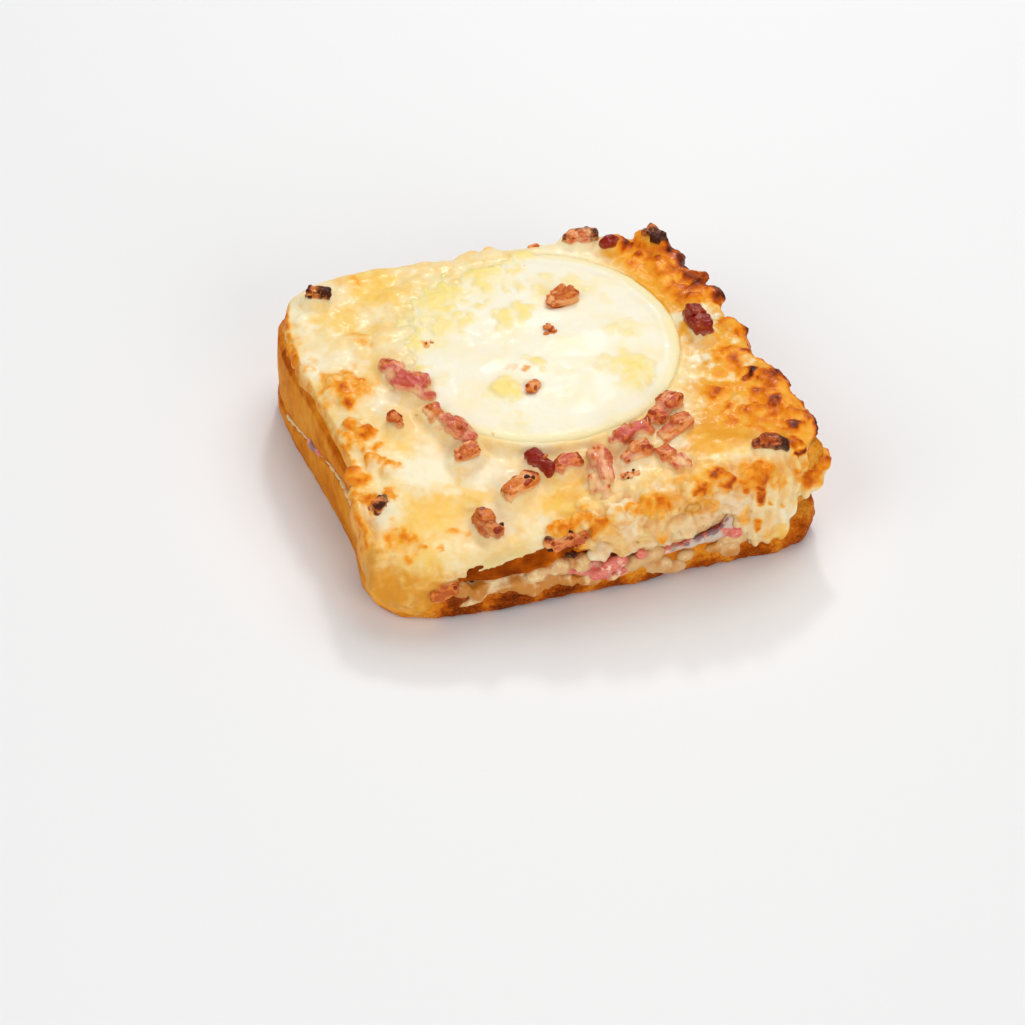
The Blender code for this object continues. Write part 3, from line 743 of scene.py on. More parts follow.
# lumps and lobes: middle, half sizes, turn, slope
gratinLumps = (
    # the right edge, then the left one
    (54, 17.4, 29.2, 3.4, 4.4, 3.2), (49, 15, 30.4, 4, 3.6, 2), (54.4, 3.2, 29.4, 4, 4.4, 3.4),
    (49.5, 1, 30.4, 4, 4, 2), (51.4, -7.8, 29.8, 4.4, 2.4, 2.8), (46, -8, 30.6, 3.6, 3, 2),
    (55.8, -20, 29.4, 4.6, 4.2, 4.2), (52, -15.4, 30.4, 3.2, 2.4, 2.6), (50, -33, 30.4, 6, 4.6, 2.8),
    (53, -31.6, 31.2, 3, 2.4, 2.2), (57.4, -34.8, 29.6, 4.4, 4.4, 3.6), (55.6, -40.4, 30.2, 3.4, 3, 3.2),
    (54, -46.3, 30, 3, 2.4, 2.6), (46, 32, 31, 5, 4.6, 2.4), (51.6, 24.8, 30.4, 3.6, 3.2, 2.8),
    (50.2, 35.4, 29.8, 3.4, 3.6, 2.8), (42, 39, 30.4, 3, 2.4, 2), (44, 25, 30.6, 4, 3, 2, 30, 0),
    (40.7, -20.6, 31, 3, 3, 1.6), (46.6, -26, 30.8, 3.6, 3, 2), (38, 43, 30.4, 4, 2.2, 1.8, -20, 0),
    (44, 44.6, 29.8, 3.2, 2.4, 2), (-53.6, -4.4, 30.6, 2.1, 2.1, 1.9),
    (-51.4, -8.6, 30.6, 3, 2.2, 1.9, 20, 0), (-55.6, -9, 29.8, 2.6, 2.6, 2),
    (-53.9, -12.6, 29.8, 2.4, 2.2, 1.8), (-51.9, -17.8, 29.2, 2, 2, 1.9),
    (-48.6, -22.4, 28.8, 2.4, 1.9, 1.6), (-56.8, -20.6, 27.2, 3.2, 3.2, 2.4),
    (-57.6, -26, 25.6, 3, 3.2, 2.4), (-50.7, -29, 26, 2.4, 1.4, 1.3), (-50.4, 8.6, 30.6, 6.2, 5.4, 2.2),
    (-52.6, 12.2, 31, 2.6, 2.4, 1.9), (-51.8, 4.6, 31.2, 2.4, 2.2, 1.8), (-47, 8.2, 31.4, 2.4, 2.4, 1.7),
    (-54.8, 8, 30.8, 2.2, 2.4, 1.8), (-49.4, 11.8, 31.6, 2, 1.8, 1.5), (-57.6, 20, 29.4, 2.6, 3.4, 1.8),
    (-41, 27, 30.4, 3.6, 2.2, 1.5, -20, 0),
    # the melted front, upper row
    (-12, -52.4, 24, 4.6, 2.6, 2.8), (-6.4, -52.8, 25.8, 4, 2.6, 2.8), (2.2, -53.2, 25.2, 4.6, 2.6, 3.6),
    (8.8, -53.4, 27.6, 4.4, 2.8, 3), (13.2, -53.8, 26.2, 4.4, 2.8, 3.4), (18.4, -53.8, 25, 3.8, 2.4, 3.2),
    (23.4, -53.2, 28.4, 3.8, 3, 4), (27.6, -53, 26.2, 3.2, 2.4, 3.6), (31.6, -52.8, 29, 4, 3, 3.8),
    (37, -52.8, 28.4, 3.4, 2.6, 3.4), (41.8, -52.8, 29, 4, 2.8, 3.6),
    # middle row
    (-4, -53.8, 20, 4.4, 2.2, 2.8), (2.8, -54.2, 18.8, 4.2, 2.2, 3.4), (9.4, -54.2, 20.6, 4.4, 2.3, 3.6),
    (15, -54.6, 19.6, 4.6, 2.4, 4.4), (21, -54.4, 20.4, 4.2, 2.2, 3.6), (26.2, -54.2, 20.6, 3.6, 2.1, 3.2),
    (29.6, -53.6, 22.6, 3, 2, 2.8), (36.4, -53.6, 21.6, 3, 2.4, 4.8), (33, -53, 21.4, 3, 1.8, 2.4),
    (34.4, -53.4, 24.6, 3.4, 2.2, 3.2),
    # lower row
    (5.6, -54.4, 14.6, 3.6, 2, 2.2), (11.6, -54.6, 15, 3.4, 2, 2.2),
    (16.4, -54.8, 15, 3.2, 1.9, 1.8, 0, 10), (21.6, -54.8, 16.6, 2.8, 1.8, 1.5, 0, 20),
    (-1.6, -54.2, 15, 3.4, 1.9, 2), (37.6, -53.9, 15.4, 2.6, 2.2, 3.8),
    # the pleated sheet at the right of the front
    (41, -53.4, 22, 2.6, 2.2, 7), (44.6, -53.4, 23, 2.2, 2, 7), (48.6, -52.8, 22.6, 2.8, 2.2, 7.4),
    (52.6, -51.2, 24, 1.8, 1.8, 6), (41, -53.9, 12, 3.4, 1.9, 6.6), (46.6, -53.7, 12.4, 3.2, 1.8, 6.6),
    (44, -53.6, 9.6, 2.6, 1.7, 4.2), (50.6, -52.6, 15.6, 2.2, 1.7, 5.4), (49.4, -53.2, 9.4, 2.4, 1.6, 3.8),
    # the drape at the left of the front
    (-43, -50.4, 14, 5.6, 2.2, 8.4), (-48.6, -49.4, 11, 6.4, 2.2, 9.6),
    (-53, -47.2, 11, 6, 2.4, 9.8, -20, 0), (-56.8, -43.2, 12.4, 4, 5, 10, -40, 0),
    (-58.8, -37.6, 16, 2.4, 5.4, 9), (-59.4, -31, 22, 1.8, 5, 6),
    # one swelling on the top at the front right, then the back left part of the top
    (32.5, -41.2, 31.2, 5.4, 4.8, 1.4),
    (-38, 50, 29.6, 5, 3.4, 2.2), (-27.4, 41.2, 30.6, 4.6, 3.4, 2), (-34.3, 38.6, 30.2, 3.8, 3.4, 1.8),
    (-33, 30.5, 30.8, 3.4, 3.6, 1.8), (-36, 22, 30.6, 2.6, 4, 1.6), (-20, 44.5, 30.8, 4.6, 2.6, 1.8),
    (-10, 47.6, 30.8, 5.4, 2.4, 1.8), (2, 49, 30.8, 5.6, 2.4, 1.6), (14, 47.6, 30.6, 5, 2.4, 1.5),
    (-28, 49.6, 30.2, 5, 3, 1.8), (-47, 44, 29.4, 5, 3, 1.8, 30, 0),
)

# toasted patches: x, y, z, reach, amount
gratinToast = (
    (40.6, -28, 31, 4, 0.42), (40.8, -33.6, 31, 4.6, 0.5), (-50.5, 9.4, 31.5, 8.4, 0.44),
    (-52.4, 12.1, 31.1, 3.6, 0.5), (-51.9, 4.7, 31, 3.2, 0.5), (-47, 8, 32, 3.4, 0.44),
    (-54.5, 8, 31, 3, 0.46), (-58.1, 19.8, 30.2, 3.5, 0.34), (-60, 30.4, 29.4, 4, 0.42),
    (-60, 25.3, 29.7, 3.6, 0.4), (-41.1, 27.2, 30.8, 4.2, 0.24), (-53.6, -4.4, 31.4, 2.6, 0.5),
    (-51.4, -8.3, 31.4, 3.6, 0.48), (-56.3, -7.3, 30.2, 3.2, 0.42), (-53.9, -12.2, 30.4, 3.8, 0.36),
    (-51.9, -17.7, 29.6, 2.6, 0.42), (-48.6, -22.4, 29.2, 2.8, 0.36), (-57.5, -20.6, 28.2, 5.2, 0.44),
    (-48.7, -14.1, 30.6, 3.2, 0.32), (-58.8, -27, 26.9, 5, 0.44), (-50.7, -29.3, 26.8, 3, 0.34),
    (-42.4, -35.9, 25.8, 7, 0.12), (-37.8, -44.6, 23.8, 3.6, 0.28), (-50.4, -43.1, 22.8, 6.4, 0.3),
    (-53.2, -42.4, 22.3, 1.8, 0.32), (-46.9, -46.2, 22.6, 1.6, 0.34), (-43.4, -50, 22.3, 1.8, 0.32),
    (-60.5, -36.4, 22.3, 5, 0.44), (-61, -37, 18, 5, 0.4), (-31.8, -35.5, 25.9, 5.4, 0.12),
    (-55, -48, 2, 5, 0.36), (-46, -52.3, 2, 5, 0.34), (-60.5, -43, 4, 6, 0.42), (46.2, 32.2, 32.6, 9, 0.56),
    (42, 39.1, 31.6, 4, 0.5), (50.9, 35.6, 31.5, 6, 0.66), (52.3, 24.2, 32, 5.2, 0.66),
    (54.4, 19.1, 31.4, 4.6, 0.62), (42.2, 24.1, 31.1, 4.6, 0.34), (48.6, 17.1, 31.7, 6, 0.44),
    (38.5, 35.4, 31.2, 3.6, 0.48), (49.2, 12.8, 31.6, 5, 0.4), (40, 44, 31, 6, 0.44),
    (52.5, 31, 30, 5.4, 0.7), (57, 15.5, 29.5, 3.4, 0.62), (54.4, 1.3, 31.4, 6, 0.44),
    (58.6, 2.4, 30, 2.6, 0.66), (49.5, -7.5, 31.6, 5.4, 0.52), (53.2, -9.2, 32.1, 3, 0.7),
    (56.4, -21.5, 32.3, 6, 0.5), (52.7, -18.1, 32.2, 2.8, 0.8), (40.7, -20.6, 31.8, 4.2, 0.52),
    (45.1, -19.1, 31.4, 7, 0.34), (41.2, -25.3, 31.6, 4.2, 0.26), (49.8, -33.8, 32.4, 9, 0.52),
    (52.2, -31.8, 33, 4, 0.66), (55.7, -40.4, 32.8, 3.6, 0.84), (59, -35.4, 33, 4, 0.5),
    (46.6, -30.9, 32.2, 4.4, 0.44), (54.3, -46.3, 32.1, 3.6, 0.58), (54.6, -49.9, 31.2, 1.8, 0.86),
    (32.5, -41.2, 32.4, 6.5, 0.14), (31, -54.5, 31.8, 4.6, 0.58), (24.3, -54.5, 31.4, 3.8, 0.58),
    (41.3, -54.4, 31.3, 6.2, 0.46), (47, -54, 27, 3, 0.32), (53.5, -53, 27, 2.4, 0.4),
    (-12.2, -54, 26, 5.6, 0.36), (-5, -54.5, 27.5, 5.6, 0.38), (0, -55.6, 24.5, 5, 0.3),
    (-8, -54.6, 21, 4.6, 0.48), (8.6, -55.6, 29.4, 3.8, 0.38), (14, -56, 28.2, 5, 0.4),
    (19.5, -55.6, 27.5, 4, 0.3), (26, -55.2, 25, 2.6, 0.34), (36, -54.4, 30.5, 4, 0.4),
    (-38, 50, 31, 5, 0.22),
)

# small crisp brown streaks, same columns
crispStrips = (
    (41.6, -55.6, 27.4, 1.9, 0.6), (41.8, -55.9, 25.2, 1.9, 0.66), (41.7, -56, 23, 1.8, 0.62),
    (41.6, -56, 21, 1.5, 0.5), (44.8, -55.6, 20.4, 1.3, 0.5), (41.4, -56, 15.2, 1.5, 0.6),
    (41.2, -56, 13.2, 1.6, 0.7), (53.4, -53, 25, 1.8, 0.52), (42, -55.9, 26.2, 1.8, 0.56),
    (41.5, -56, 24.1, 1.8, 0.6), (41.8, -56, 22, 1.6, 0.54), (41.3, -56, 14.2, 1.5, 0.6),
    (53.8, -53, 22.4, 1.3, 0.44), (47.8, -55.6, 18.6, 1.2, 0.5), (45.6, -55.6, 27.6, 1.6, 0.44),
    (37.4, -55.4, 27.4, 1.8, 0.5), (19.6, -56.6, 25.6, 1.6, 0.5), (6, -56.4, 21.6, 1.6, 0.46),
    (24, -56.4, 31, 1.8, 0.56), (33, -56, 27.6, 1.6, 0.46),
)

# yellow melted zones and whitish ones, same columns
gratinFat = (
    (32.5, -41.2, 32.4, 9, 0.95), (45.1, -19.1, 31.4, 9, 0.9), (42.4, -35.9, 31.5, 10, 0.9),
    (-42.4, -35.9, 25.8, 14, 0.62), (-31.8, -35.5, 25.9, 10, 0.62), (-44, -18, 29, 9, 0.5),
    (-20, -44, 25, 9, 0.35), (40, 24, 31, 9, 0.8), (-44, 38, 31, 14, 0.58), (-8, -44, 27, 9, 0.7),
    (-40, 14, 31, 7, 0.5), (14, -46, 31, 6, 0.5), (-55, -50, 14, 14, 0.6), (20, -24, 31, 7, 0.4),
    (-30, 46, 31, 14, 0.7), (-46, -50, 20, 8, 0.6), (48, 4, 31, 9, 0.9), (50, -14, 31, 8, 0.9),
    (46, 14, 31, 8, 0.9), (12, -56, 20, 7, 0.6), (48, -54.5, 9, 6, 0.8), (36, -30, 31, 7, 0.6),
    (0, -34, 31, 8, 0.4), (-56, 36, 31, 8, 0.3),
)
gratinGold = (
    (46, -22, 31, 12, 0.9), (39, -35, 31, 11, 1.1), (48, -6, 31, 9, 0.8), (34, -34, 31, 8, 0.7),
    (47, 9, 31, 8, 0.5), (42, 27, 31, 10, 0.9), (38, 38, 31, 8, 0.8), (30, -42, 31, 7, 0.6),
    (24, -50, 30, 7, 0.5), (-40, -32, 27, 8, 0.15), (-5, -42, 28, 6, 0.4), (48, -50, 28, 8, 0.5),
    (50, -54, 20, 6, 0.3), (12, -54, 28, 7, 0.5), (17, -56, 23, 6, 0.3), (25.7, -55, 25.3, 5, 0.65),
    (32, -54, 31, 5, 0.6), (-60.5, -40, 14, 10, 0.7), (-57, -46.5, 13, 8, 0.6), (-46, -53, 10, 9, 0.6),
    (-60, -34, 22, 7, 0.5), (3, -56, 25, 5, 0.5), (42, -54, 31, 6, 0.7), (-6, -55, 24, 5, 0.35),
    (47, -55, 9, 4, 0.5),
)
gratinWhite = (
    (-40, -26, 28, 9, 0.9), (-24, -30, 28, 8, 0.8), (-12, -30, 30, 6, 0.7), (-28, -46, 24, 7, 0.8),
    (-54, -34, 26, 6, 0.8), (-56, 42, 30, 8, 0.8), (-56, 22, 31, 7, 0.8), (-48, 20, 31, 6, 0.7),
    (-44, 2, 31, 6, 0.7), (48.5, 9.4, 31, 7, 1), (46.6, 3, 31, 6.5, 0.9), (44, -2, 31, 6, 0.6),
    (42.9, -7.2, 31, 3.6, 1), (45.6, -17.4, 31, 2.8, 0.8), (-16, -50, 24, 5, 0.6), (50, -55, 15, 5, 0.8),
    (24, -34, 31, 5, 0.6), (10, -42, 31, 6, 0.5), (-50, -20, 29, 5, 0.5), (20, 47, 31, 8, 0.5),
    (30, 44, 31, 6, 0.4), (-44, 46, 31, 7, 0.45), (-36, 34, 31, 5, 0.35), (-50, 30, 31, 6, 0.3),
    (-22, 48, 31, 5, 0.4), (42.6, 10, 31, 6, 0.9), (51.4, -3.4, 31, 3.6, 0.8), (54, -13.6, 31, 3.6, 0.8),
    (47, -26.5, 31, 3.4, 0.6), (57, 9.6, 30, 4, 0.8),
)


# how many lardons there are, and the numbers of those that don't lie in the gratin's top
lardonCount = 25
onTheRound = (14, 15)
atTheFront = (24, 25)
greasyCount = 12  # the first ones lie thick, in greasy cheese


def longWay(places):  # a bar's middle, its long, cross and short directions, and how it is turned
    middle = places.mean(axis=0)
    spread = np.linalg.svd(places - middle, full_matrices=False)[2]
    return middle, spread, math.degrees(math.atan2(spread[0][1], spread[0][0]))


def lardonBeds():  # low ovals of cheese that fill each pocket and creep up round its lardon
    beds = []
    for number in range(1, lardonCount + 1):
        if number in onTheRound + atTheFront:
            continue
        places = placesOf(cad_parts[f"lardon_{number:02d}"])
        middle, spread, turn = longWay(places)
        half = np.ptp((places - middle) @ spread.T, axis=0) / 2
        beds.append((*middle[:2], middle[2] - 1.6, half[0] + 1.6, half[1] + 1.5, half[2] + 0.6, turn, 0))
    return beds


def makeGratinMaterial():
    recipe = Recipe(
        "gratinCheese", Subsurface_Weight=0.3, Subsurface_Scale=2.5 * mm, Subsurface_Radius=(1, 0.6, 0.25),
        Specular_IOR_Level=0.07, Coat_Weight=0.15, Coat_Roughness=0.18)
    where = recipe.place()
    stored = [recipe.stored(name) for name in ("toast", "fat", "white", "beige", "gold", "amber")]
    toast, fat, white, beige, gold, amber = stored
    broad = recipe.noise(where, 9, 3, 0.55)
    mottle = recipe.noise(where, 2.6, 4, 0.6)
    fine = recipe.noise(where, 0.8, 3, 0.6)
    melted = gratinLooks["creamPale"]
    # the beige and amber layers hold, besides the cheese's own tints, painted shade in the hollows between
    # the front's lumps
    for mask, colour in (
            (recipe.range(broad * 0.6 + mottle * 0.4, 0.38, 0.62), "creamDeep"),
            (white, "white"),
            (recipe.range(fat * (0.5 + mottle), 0.1, 0.9), "yellow"),
            (beige * (0.4 + mottle), "beige"),
            (recipe.range(gold + (mottle - 0.5) * 0.5, 0, 0.9), "golden"),
            (recipe.range(amber * (0.1 + 1.8 * mottle), 0.05, 0.9), "amber")):
        melted = recipe.mixed(mask, melted, gratinLooks[colour])
    baked = recipe.range(toast, 0.05, 0.3)
    level = toast + (mottle - 0.5) * 0.36 * baked + (fine - 0.5) * 0.16 * baked
    browned = recipe.ramp(level, gratinLooks["toastStops"])
    colour = recipe.mixed(recipe.range(level, 0.02, 0.32), melted, browned)
    height = fine * (0.2 + 0.4 * baked) + mottle * 0.45
    height = height + recipe.cells(where, 1.6, "SMOOTH_F1") * 0.4 * baked
    recipe.give(Base_Color=colour, Roughness=0.3 + 0.22 * mottle, Normal=recipe.bump(height, 0.45, 0.5))
    return recipe.material


# amber, see-through cheese at the front left corner and beige in the front's hollows, same columns
gratinAmber = (
    (-58, -46, 8, 13, 1), (-46, -54, 6, 12, 1), (-61, -38, 12, 9, 1), (-60, -40, 22, 7, 0.7),
    (-40, -53, 14, 5, 0.5), (-54, -50, 14, 8, 0.7),
)
gratinBeige = (
    (14, -56, 16, 9, 0.9), (24, -56, 20, 8, 0.9), (30, -56, 20, 7, 1), (35, -55, 24, 7, 0.7),
    (2, -56, 18, 8, 0.8), (28, -55, 27, 6, 0.6), (42, -55, 12, 8, 0.5), (37, -55, 16, 6, 0.8),
    (9, -56, 14, 6, 0.9),
)

# where the gratin is drawn in so that crust or gaps show: x, y, z, reach, depth
gratinPared = (
    (58.5, 10.4, 28, 4.6, 3), (60, -9, 28, 7.5, 5), (61.5, -27, 28, 5.5, 6), (64, -42.5, 28, 5.5, 6),
    (-34, -55.5, 20, 6.5, 1.2), (-28, -56, 20.5, 7.5, 1.8), (-21, -56, 21, 7, 1.6), (63, -49, 27, 8.5, 6),
    (61, -52, 20, 9, 6),
)


def bareLeft(places):  # how far the gratin's left lip steps back behind the crust
    along = easeY(-42, -30, places) * easeY(54, 44, places)
    return 3.0 * along * ease(10.5, 15, towardsLeft(places)) * easeZ(31, 28.5, places)


def topCrumbs(count, seed):  # half-melted shreds of cheese lying on the top
    draws = random.Random(seed)
    tree = BVHTree.FromObject(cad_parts["gratin_topping"], bpy.context.evaluated_depsgraph_get())
    made = []
    while len(made) < count:
        x, y = draws.uniform(-56, 56), draws.uniform(-48, 50)
        away = math.dist((x, y), roundMiddle)
        wanted = 0.12 + 0.16 * (x < -12 and y > 20) + 0.4 * (-25 < x < 35 and y < -30)
        if away < 38 or draws.random() > wanted:
            continue
        hit = tree.ray_cast(Vector((x * mm, y * mm, 0.06)), Vector((0, 0, -1)))[0]
        if hit is None or hit.z / mm < 22:
            continue
        long = draws.uniform(1.8, 4.4)
        made.append((x, y, hit.z / mm - 0.3, long, long * draws.uniform(0.5, 0.9),
                     draws.uniform(0.4, 0.7), draws.uniform(0, 180), draws.uniform(-4, 4)))
    return made


def edgeCrumbs(count, seed):  # melted cheese that creeps over the back left edge of the round
    draws = random.Random(seed)
    made = []
    for k in range(count):
        angle = math.radians(draws.uniform(82, 196))
        away = draws.triangular(31, 43, 38.5)
        x = roundMiddle[0] + away * math.cos(angle)
        y = roundMiddle[1] + away * math.sin(angle)
        long = draws.uniform(1.5, 4.2)
        made.append((x, y, 31.8 - 0.12 * max(away - 37, 0), long, long * draws.uniform(0.6, 1.0),
                     draws.uniform(0.4, 0.8), draws.uniform(0, 180), draws.uniform(-4, 4)))
    return made


def addRing(piece, x, y, z, radius, thickness):
    extra = startFresh()
    bpy.ops.mesh.primitive_torus_add(
        location=(x * mm, y * mm, z * mm), major_segments=96, minor_segments=12,
        major_radius=radius * mm, minor_radius=thickness * mm)
    joinInto(piece, extra)


def pourGratin():  # the whole body of melted cheese, before its surface is worked
    piece = copyOfNode("gratin_topping", "gratinTopping")
    fuse(piece, gratinLooks["firstVoxel"], 14)
    places = placesOf(piece)
    outward = normalsOf(piece) * (1, 1, 0)
    places -= outward * swell(places, gratinPared)[:, None]
    places[:, 0] += bareLeft(places)
    movePlaces(piece, places)
    addBlobs(piece, gratinLumps)
    addBlobs(piece, lardonBeds())
    addBlobs(piece, topCrumbs(gratinLooks["topCrumbs"], 91), 2)
    addBlobs(piece, edgeCrumbs(gratinLooks["edgeCrumbs"], 92), 2)
    addRing(piece, *roundMiddle, *gratinLooks["collar"])
    fuse(piece, gratinLooks["voxel"], 3)
    thin(piece, 0.08, lambda middles, facing: (facing[:, 2] < -0.55) & (middles[:, 2] > 20))
    places = placesOf(piece)
    corner = (places[:, 0] < -36) & (places[:, 1] < -26)
    calm(piece, corner & (places[:, 2] < np.where(places[:, 1] < -36, 25, 19)), 50)
    plain = spots(places, gratinToast) < 0.12
    calm(piece, plain & (places[:, 0] < 26) & (places[:, 1] > -44) & (places[:, 2] > 24), 16)
    return piece


def makeGratin():
    piece = pourGratin()
    places = placesOf(piece)
    normals = normalsOf(piece)

    # zones: the top, the right edge, the left, the lumpy front, the drape and pleats at its ends
    facingUp = easeZ(-0.5, 0.2, normals) * (1 - 0.6 * easeX(-34, -42, places) * easeZ(22, 16, places))
    rightwards = places[:, 0] + 0.15 * places[:, 1]
    behindFront = easeY(-50, -44, places)
    atRight = ease(34, 46, rightwards) * behindFront
    leftwards = easeX(-10, -34, places)
    mass = easeY(-46, -51, places) * easeX(-18, -10, places) * easeX(44, 37, places)
    lip = easeX(-0.1, -0.7, normals) * easeX(-53, -57, places) * easeZ(31.5, 29, places)
    lip *= easeY(-44, -36, places)
    backRim = easeY(50.5, 53.5, places) * ease(-0.3, 0.5, softNoise(places, 7, 49))
    rightWall = easeX(0.1, 0.7, normals) * ease(46, 52, rightwards) * behindFront
    outer = ease(0, 0.7, normals[:, 0] - 0.4 * normals[:, 1])
    drape = easeX(-36, -44, places) * easeY(-30, -36, places) * easeZ(21, 17, places)
    pleats = easeX(38, 41, places) * easeY(-48, -51, places)
    pale = spots(places, gratinWhite, 3, 12)

    # bumps: blisters, ridges, the front's lumps, folds in the drape and two sizes of crumble
    away, own = bubbles(warped(places, 1.2, 3, 58), 4.4, 51)
    domes = np.clip(0.66 - away, 0, 1) * ease(0.2, 0.5, own)
    lumpAway, lumpOwn = bubbles(warped(places, 2.2, 4, 54), 5.6, 55)
    lumps = np.clip(1 - (lumpAway / 0.8) ** 2, 0, 1)
    ridges = np.clip(1 - 1.8 * np.abs(softNoise(warped(places, 1.6, 4, 62), 7.6, 63)), 0, 1) ** 1.3
    folds = np.sin(1.1 * (places[:, 2] + 6 * softNoise(places * (0.7, 0.7, 1), 9, 47)))
    folds = np.clip(folds, 0, 1) ** 4 * ease(-0.1, 0.5, softNoise(places * (1, 1, 2), 8, 43))
    ripple = roughNoise(places, 6, 3, 53)
    crumble = roughNoise(places, 2.2, 3, 57)

    # toasting, blotchier on the left and in the lumpy front, in a brown rim all along the right
    toast = spots(places, gratinToast, 1.8)
    soft = spots(places, gratinToast, 2.6, 5, 0, 1.6) * (1.08 + 0.55 * roughNoise(places, 2.8, 3, 44))
    toast += (soft - toast) * np.maximum(leftwards, mass)
    rightRim = 0.42 * ease(40, 50, rightwards) * easeZ(-0.3, 0.4, normals)
    for more in (
            spots(places, crispStrips, 0.6, 6),
            rightRim * (0.7 + 0.9 * softNoise(places, 5, 59)),
            (0.34 + 0.2 * softNoise(places, 5, 45)) * np.maximum(lip, 0.8 * backRim),
            (0.4 + 0.24 * softNoise(places, 5, 42)) * rightWall):
        toast = np.maximum(toast, more)
    toast *= (1 - 0.1 * leftwards) * (1 - 0.8 * pale * atRight)
    browned = ease(0.12, 0.45, toast)

    blisters = (1.1 - 0.9 * atRight) * domes + 0.95 * atRight * ridges + (0.36 - 0.14 * leftwards) * crumble
    push = facingUp * (
        0.3 * ripple + 0.12 * crumble + browned * blisters
        + atRight * (0.6 * roughNoise(places, 4, 2, 60) - 0.3))
    push += mass * (1.7 * lumps - 1 + 0.4 * crumble + 0.35 * roughNoise(places, 1.1, 2, 46))
    push += pleats * 0.5 * np.sin(1.7 * (places[:, 0] + 2 * softNoise(places, 8, 50)))
    push += drape * (0.12 * folds + 0.3 * crumble + 0.25 * roughNoise(places * (1, 1, 0.3), 3, 2, 48))
    movePlaces(piece, places + normals * push[:, None])

    # the bumps brown more than the hollows, and some of the front's lumps more than others
    bumpy = 0.22 * crumble + (0.22 - 0.14 * atRight) * domes
    toast = toast + browned * (
        (1 - 0.3 * np.maximum(leftwards, mass)) * bumpy
        + atRight * (0.16 * ridges + 0.24 * outer - 0.1) + 0.12 * ripple - 0.03)
    lumpToast = mass * 0.38 * ease(0.66, 0.8, lumpOwn) * lumps * easeZ(10, 22, places)
    lumpToast *= 0.8 + 0.6 * crumble
    toast = np.maximum(toast - 0.1 * mass * easeZ(28, 25, places), lumpToast)

    fat = np.maximum(spots(places, gratinFat, 3, 8), 0.9 * atRight)
    fat = np.maximum(fat, mass * 0.8 * ease(0.42, 0.5, lumpOwn) * ease(0.62, 0.55, lumpOwn))
    greasy = [(x, y, z + 1, long + 0.8, 0.35) for x, y, z, long, *rest in lardonBeds()[:greasyCount]]
    # the terms with mass and lumps below paint shade: beige in the hollows between the front's lumps, amber
    # in the deepest of them
    beige = np.maximum(0.8 * spots(places, gratinBeige, 2, 9), mass * ease(0.5, 0.1, lumps) * 0.9)
    amber = np.maximum(spots(places, gratinAmber, 2.5, 13, 0, 1.6), 0.3 * lip)
    amber = np.maximum(amber, 0.45 * mass * ease(0.22, 0, lumps))
    paint(
        piece, toast=np.clip(toast, 0, 1), fat=fat * (1 - 0.8 * pale),
        white=np.maximum(pale, mass * 0.65 * ease(0.34, 0.22, lumpOwn)),
        beige=np.maximum(beige, spots(places, greasy, 2, 16)),
        gold=np.maximum(atRight, spots(places, gratinGold, 3, 15)) * (1 - 0.9 * pale),
        amber=np.clip(amber - 0.5 * drape * folds, 0, 1))
    coat(piece, makeGratinMaterial())
    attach(piece, "root")
    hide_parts("gratin_topping")
    return piece


gratinTopping = makeGratin()
print("gratin melted,", len(gratinTopping.data.polygons), "faces")


# goat's cheese round

roundLooks = {
    "voxel": 0.55,
    "white": (0.93, 0.86, 0.68),
    "warm": (0.94, 0.79, 0.42),
    "yellow": (0.96, 0.74, 0.24),
    "gold": (0.85, 0.40, 0.09),
}

# yellow melted patches, then toasted ones: x, y, z, reach, amount
roundFat = (
    (-11.6, 37.4, 32.3, 3.6, 0.8), (-11.6, 33, 32.3, 3.4, 0.8), (-4, 37.2, 32.5, 3.2, 0.7),
    (9.9, 30.8, 32.9, 4, 0.8), (-22.3, 36.5, 31.5, 6.5, 0.7), (-19.4, 24.9, 32.6, 5, 0.7),
    (-14, 24.6, 32.6, 4, 0.7), (-3.5, 22.5, 32.9, 4, 0.75), (2, 22.9, 32.9, 4.4, 0.8),
    (0.3, 1.7, 33, 3.6, 0.7), (-10.9, -5.4, 33.1, 5.2, 0.85), (-30.1, 30.5, 31.4, 7, 0.6),
    (-26.3, 3.2, 32.5, 3.6, 0.45), (-10, -17.2, 32.6, 4, 0.4), (18.8, 30, 32.8, 6.5, 0.5),
    (26, 22, 32.8, 3.5, 0.4), (25, 8.5, 32.8, 5, 0.55), (22.5, -6.4, 32.8, 8, 0.75),
    (17, -4.5, 32.8, 4, 0.6), (23, -11.5, 32.6, 4, 0.7), (-26, 18, 32.4, 7, 0.35), (-17, 31, 32, 4.4, 0.8),
    (-25, 25.6, 32, 4, 0.75), (-30, 20, 32, 4.4, 0.8), (-14, 41, 32, 4.4, 0.85), (-4, 43.6, 32, 4.6, 0.8),
    (5, 40, 32, 4, 0.7), (-31.4, 11, 32, 3.8, 0.7), (-21, 30, 32, 3, 0.7), (8, 45.6, 32, 3.4, 0.6),
    (12, 36, 32.4, 3.6, 0.6), (-8, 28.8, 32.4, 2.8, 0.7), (3, 34, 32.4, 3, 0.7),
)
roundToast = (
    (-25.8, 18.4, 32.4, 1.8, 0.45), (6.9, 13.1, 33, 1.8, 0.5), (9.2, 41.2, 32.3, 1, 0.4),
    (-7, 2.4, 33.1, 3, 0.3), (-13, -1, 33.1, 2.6, 0.25), (-3.8, 1, 33.1, 1.8, 0.45), (14, 26, 33, 3, 0.3),
    (-19.9, -19.8, 31.6, 0.7, 0.4),
)


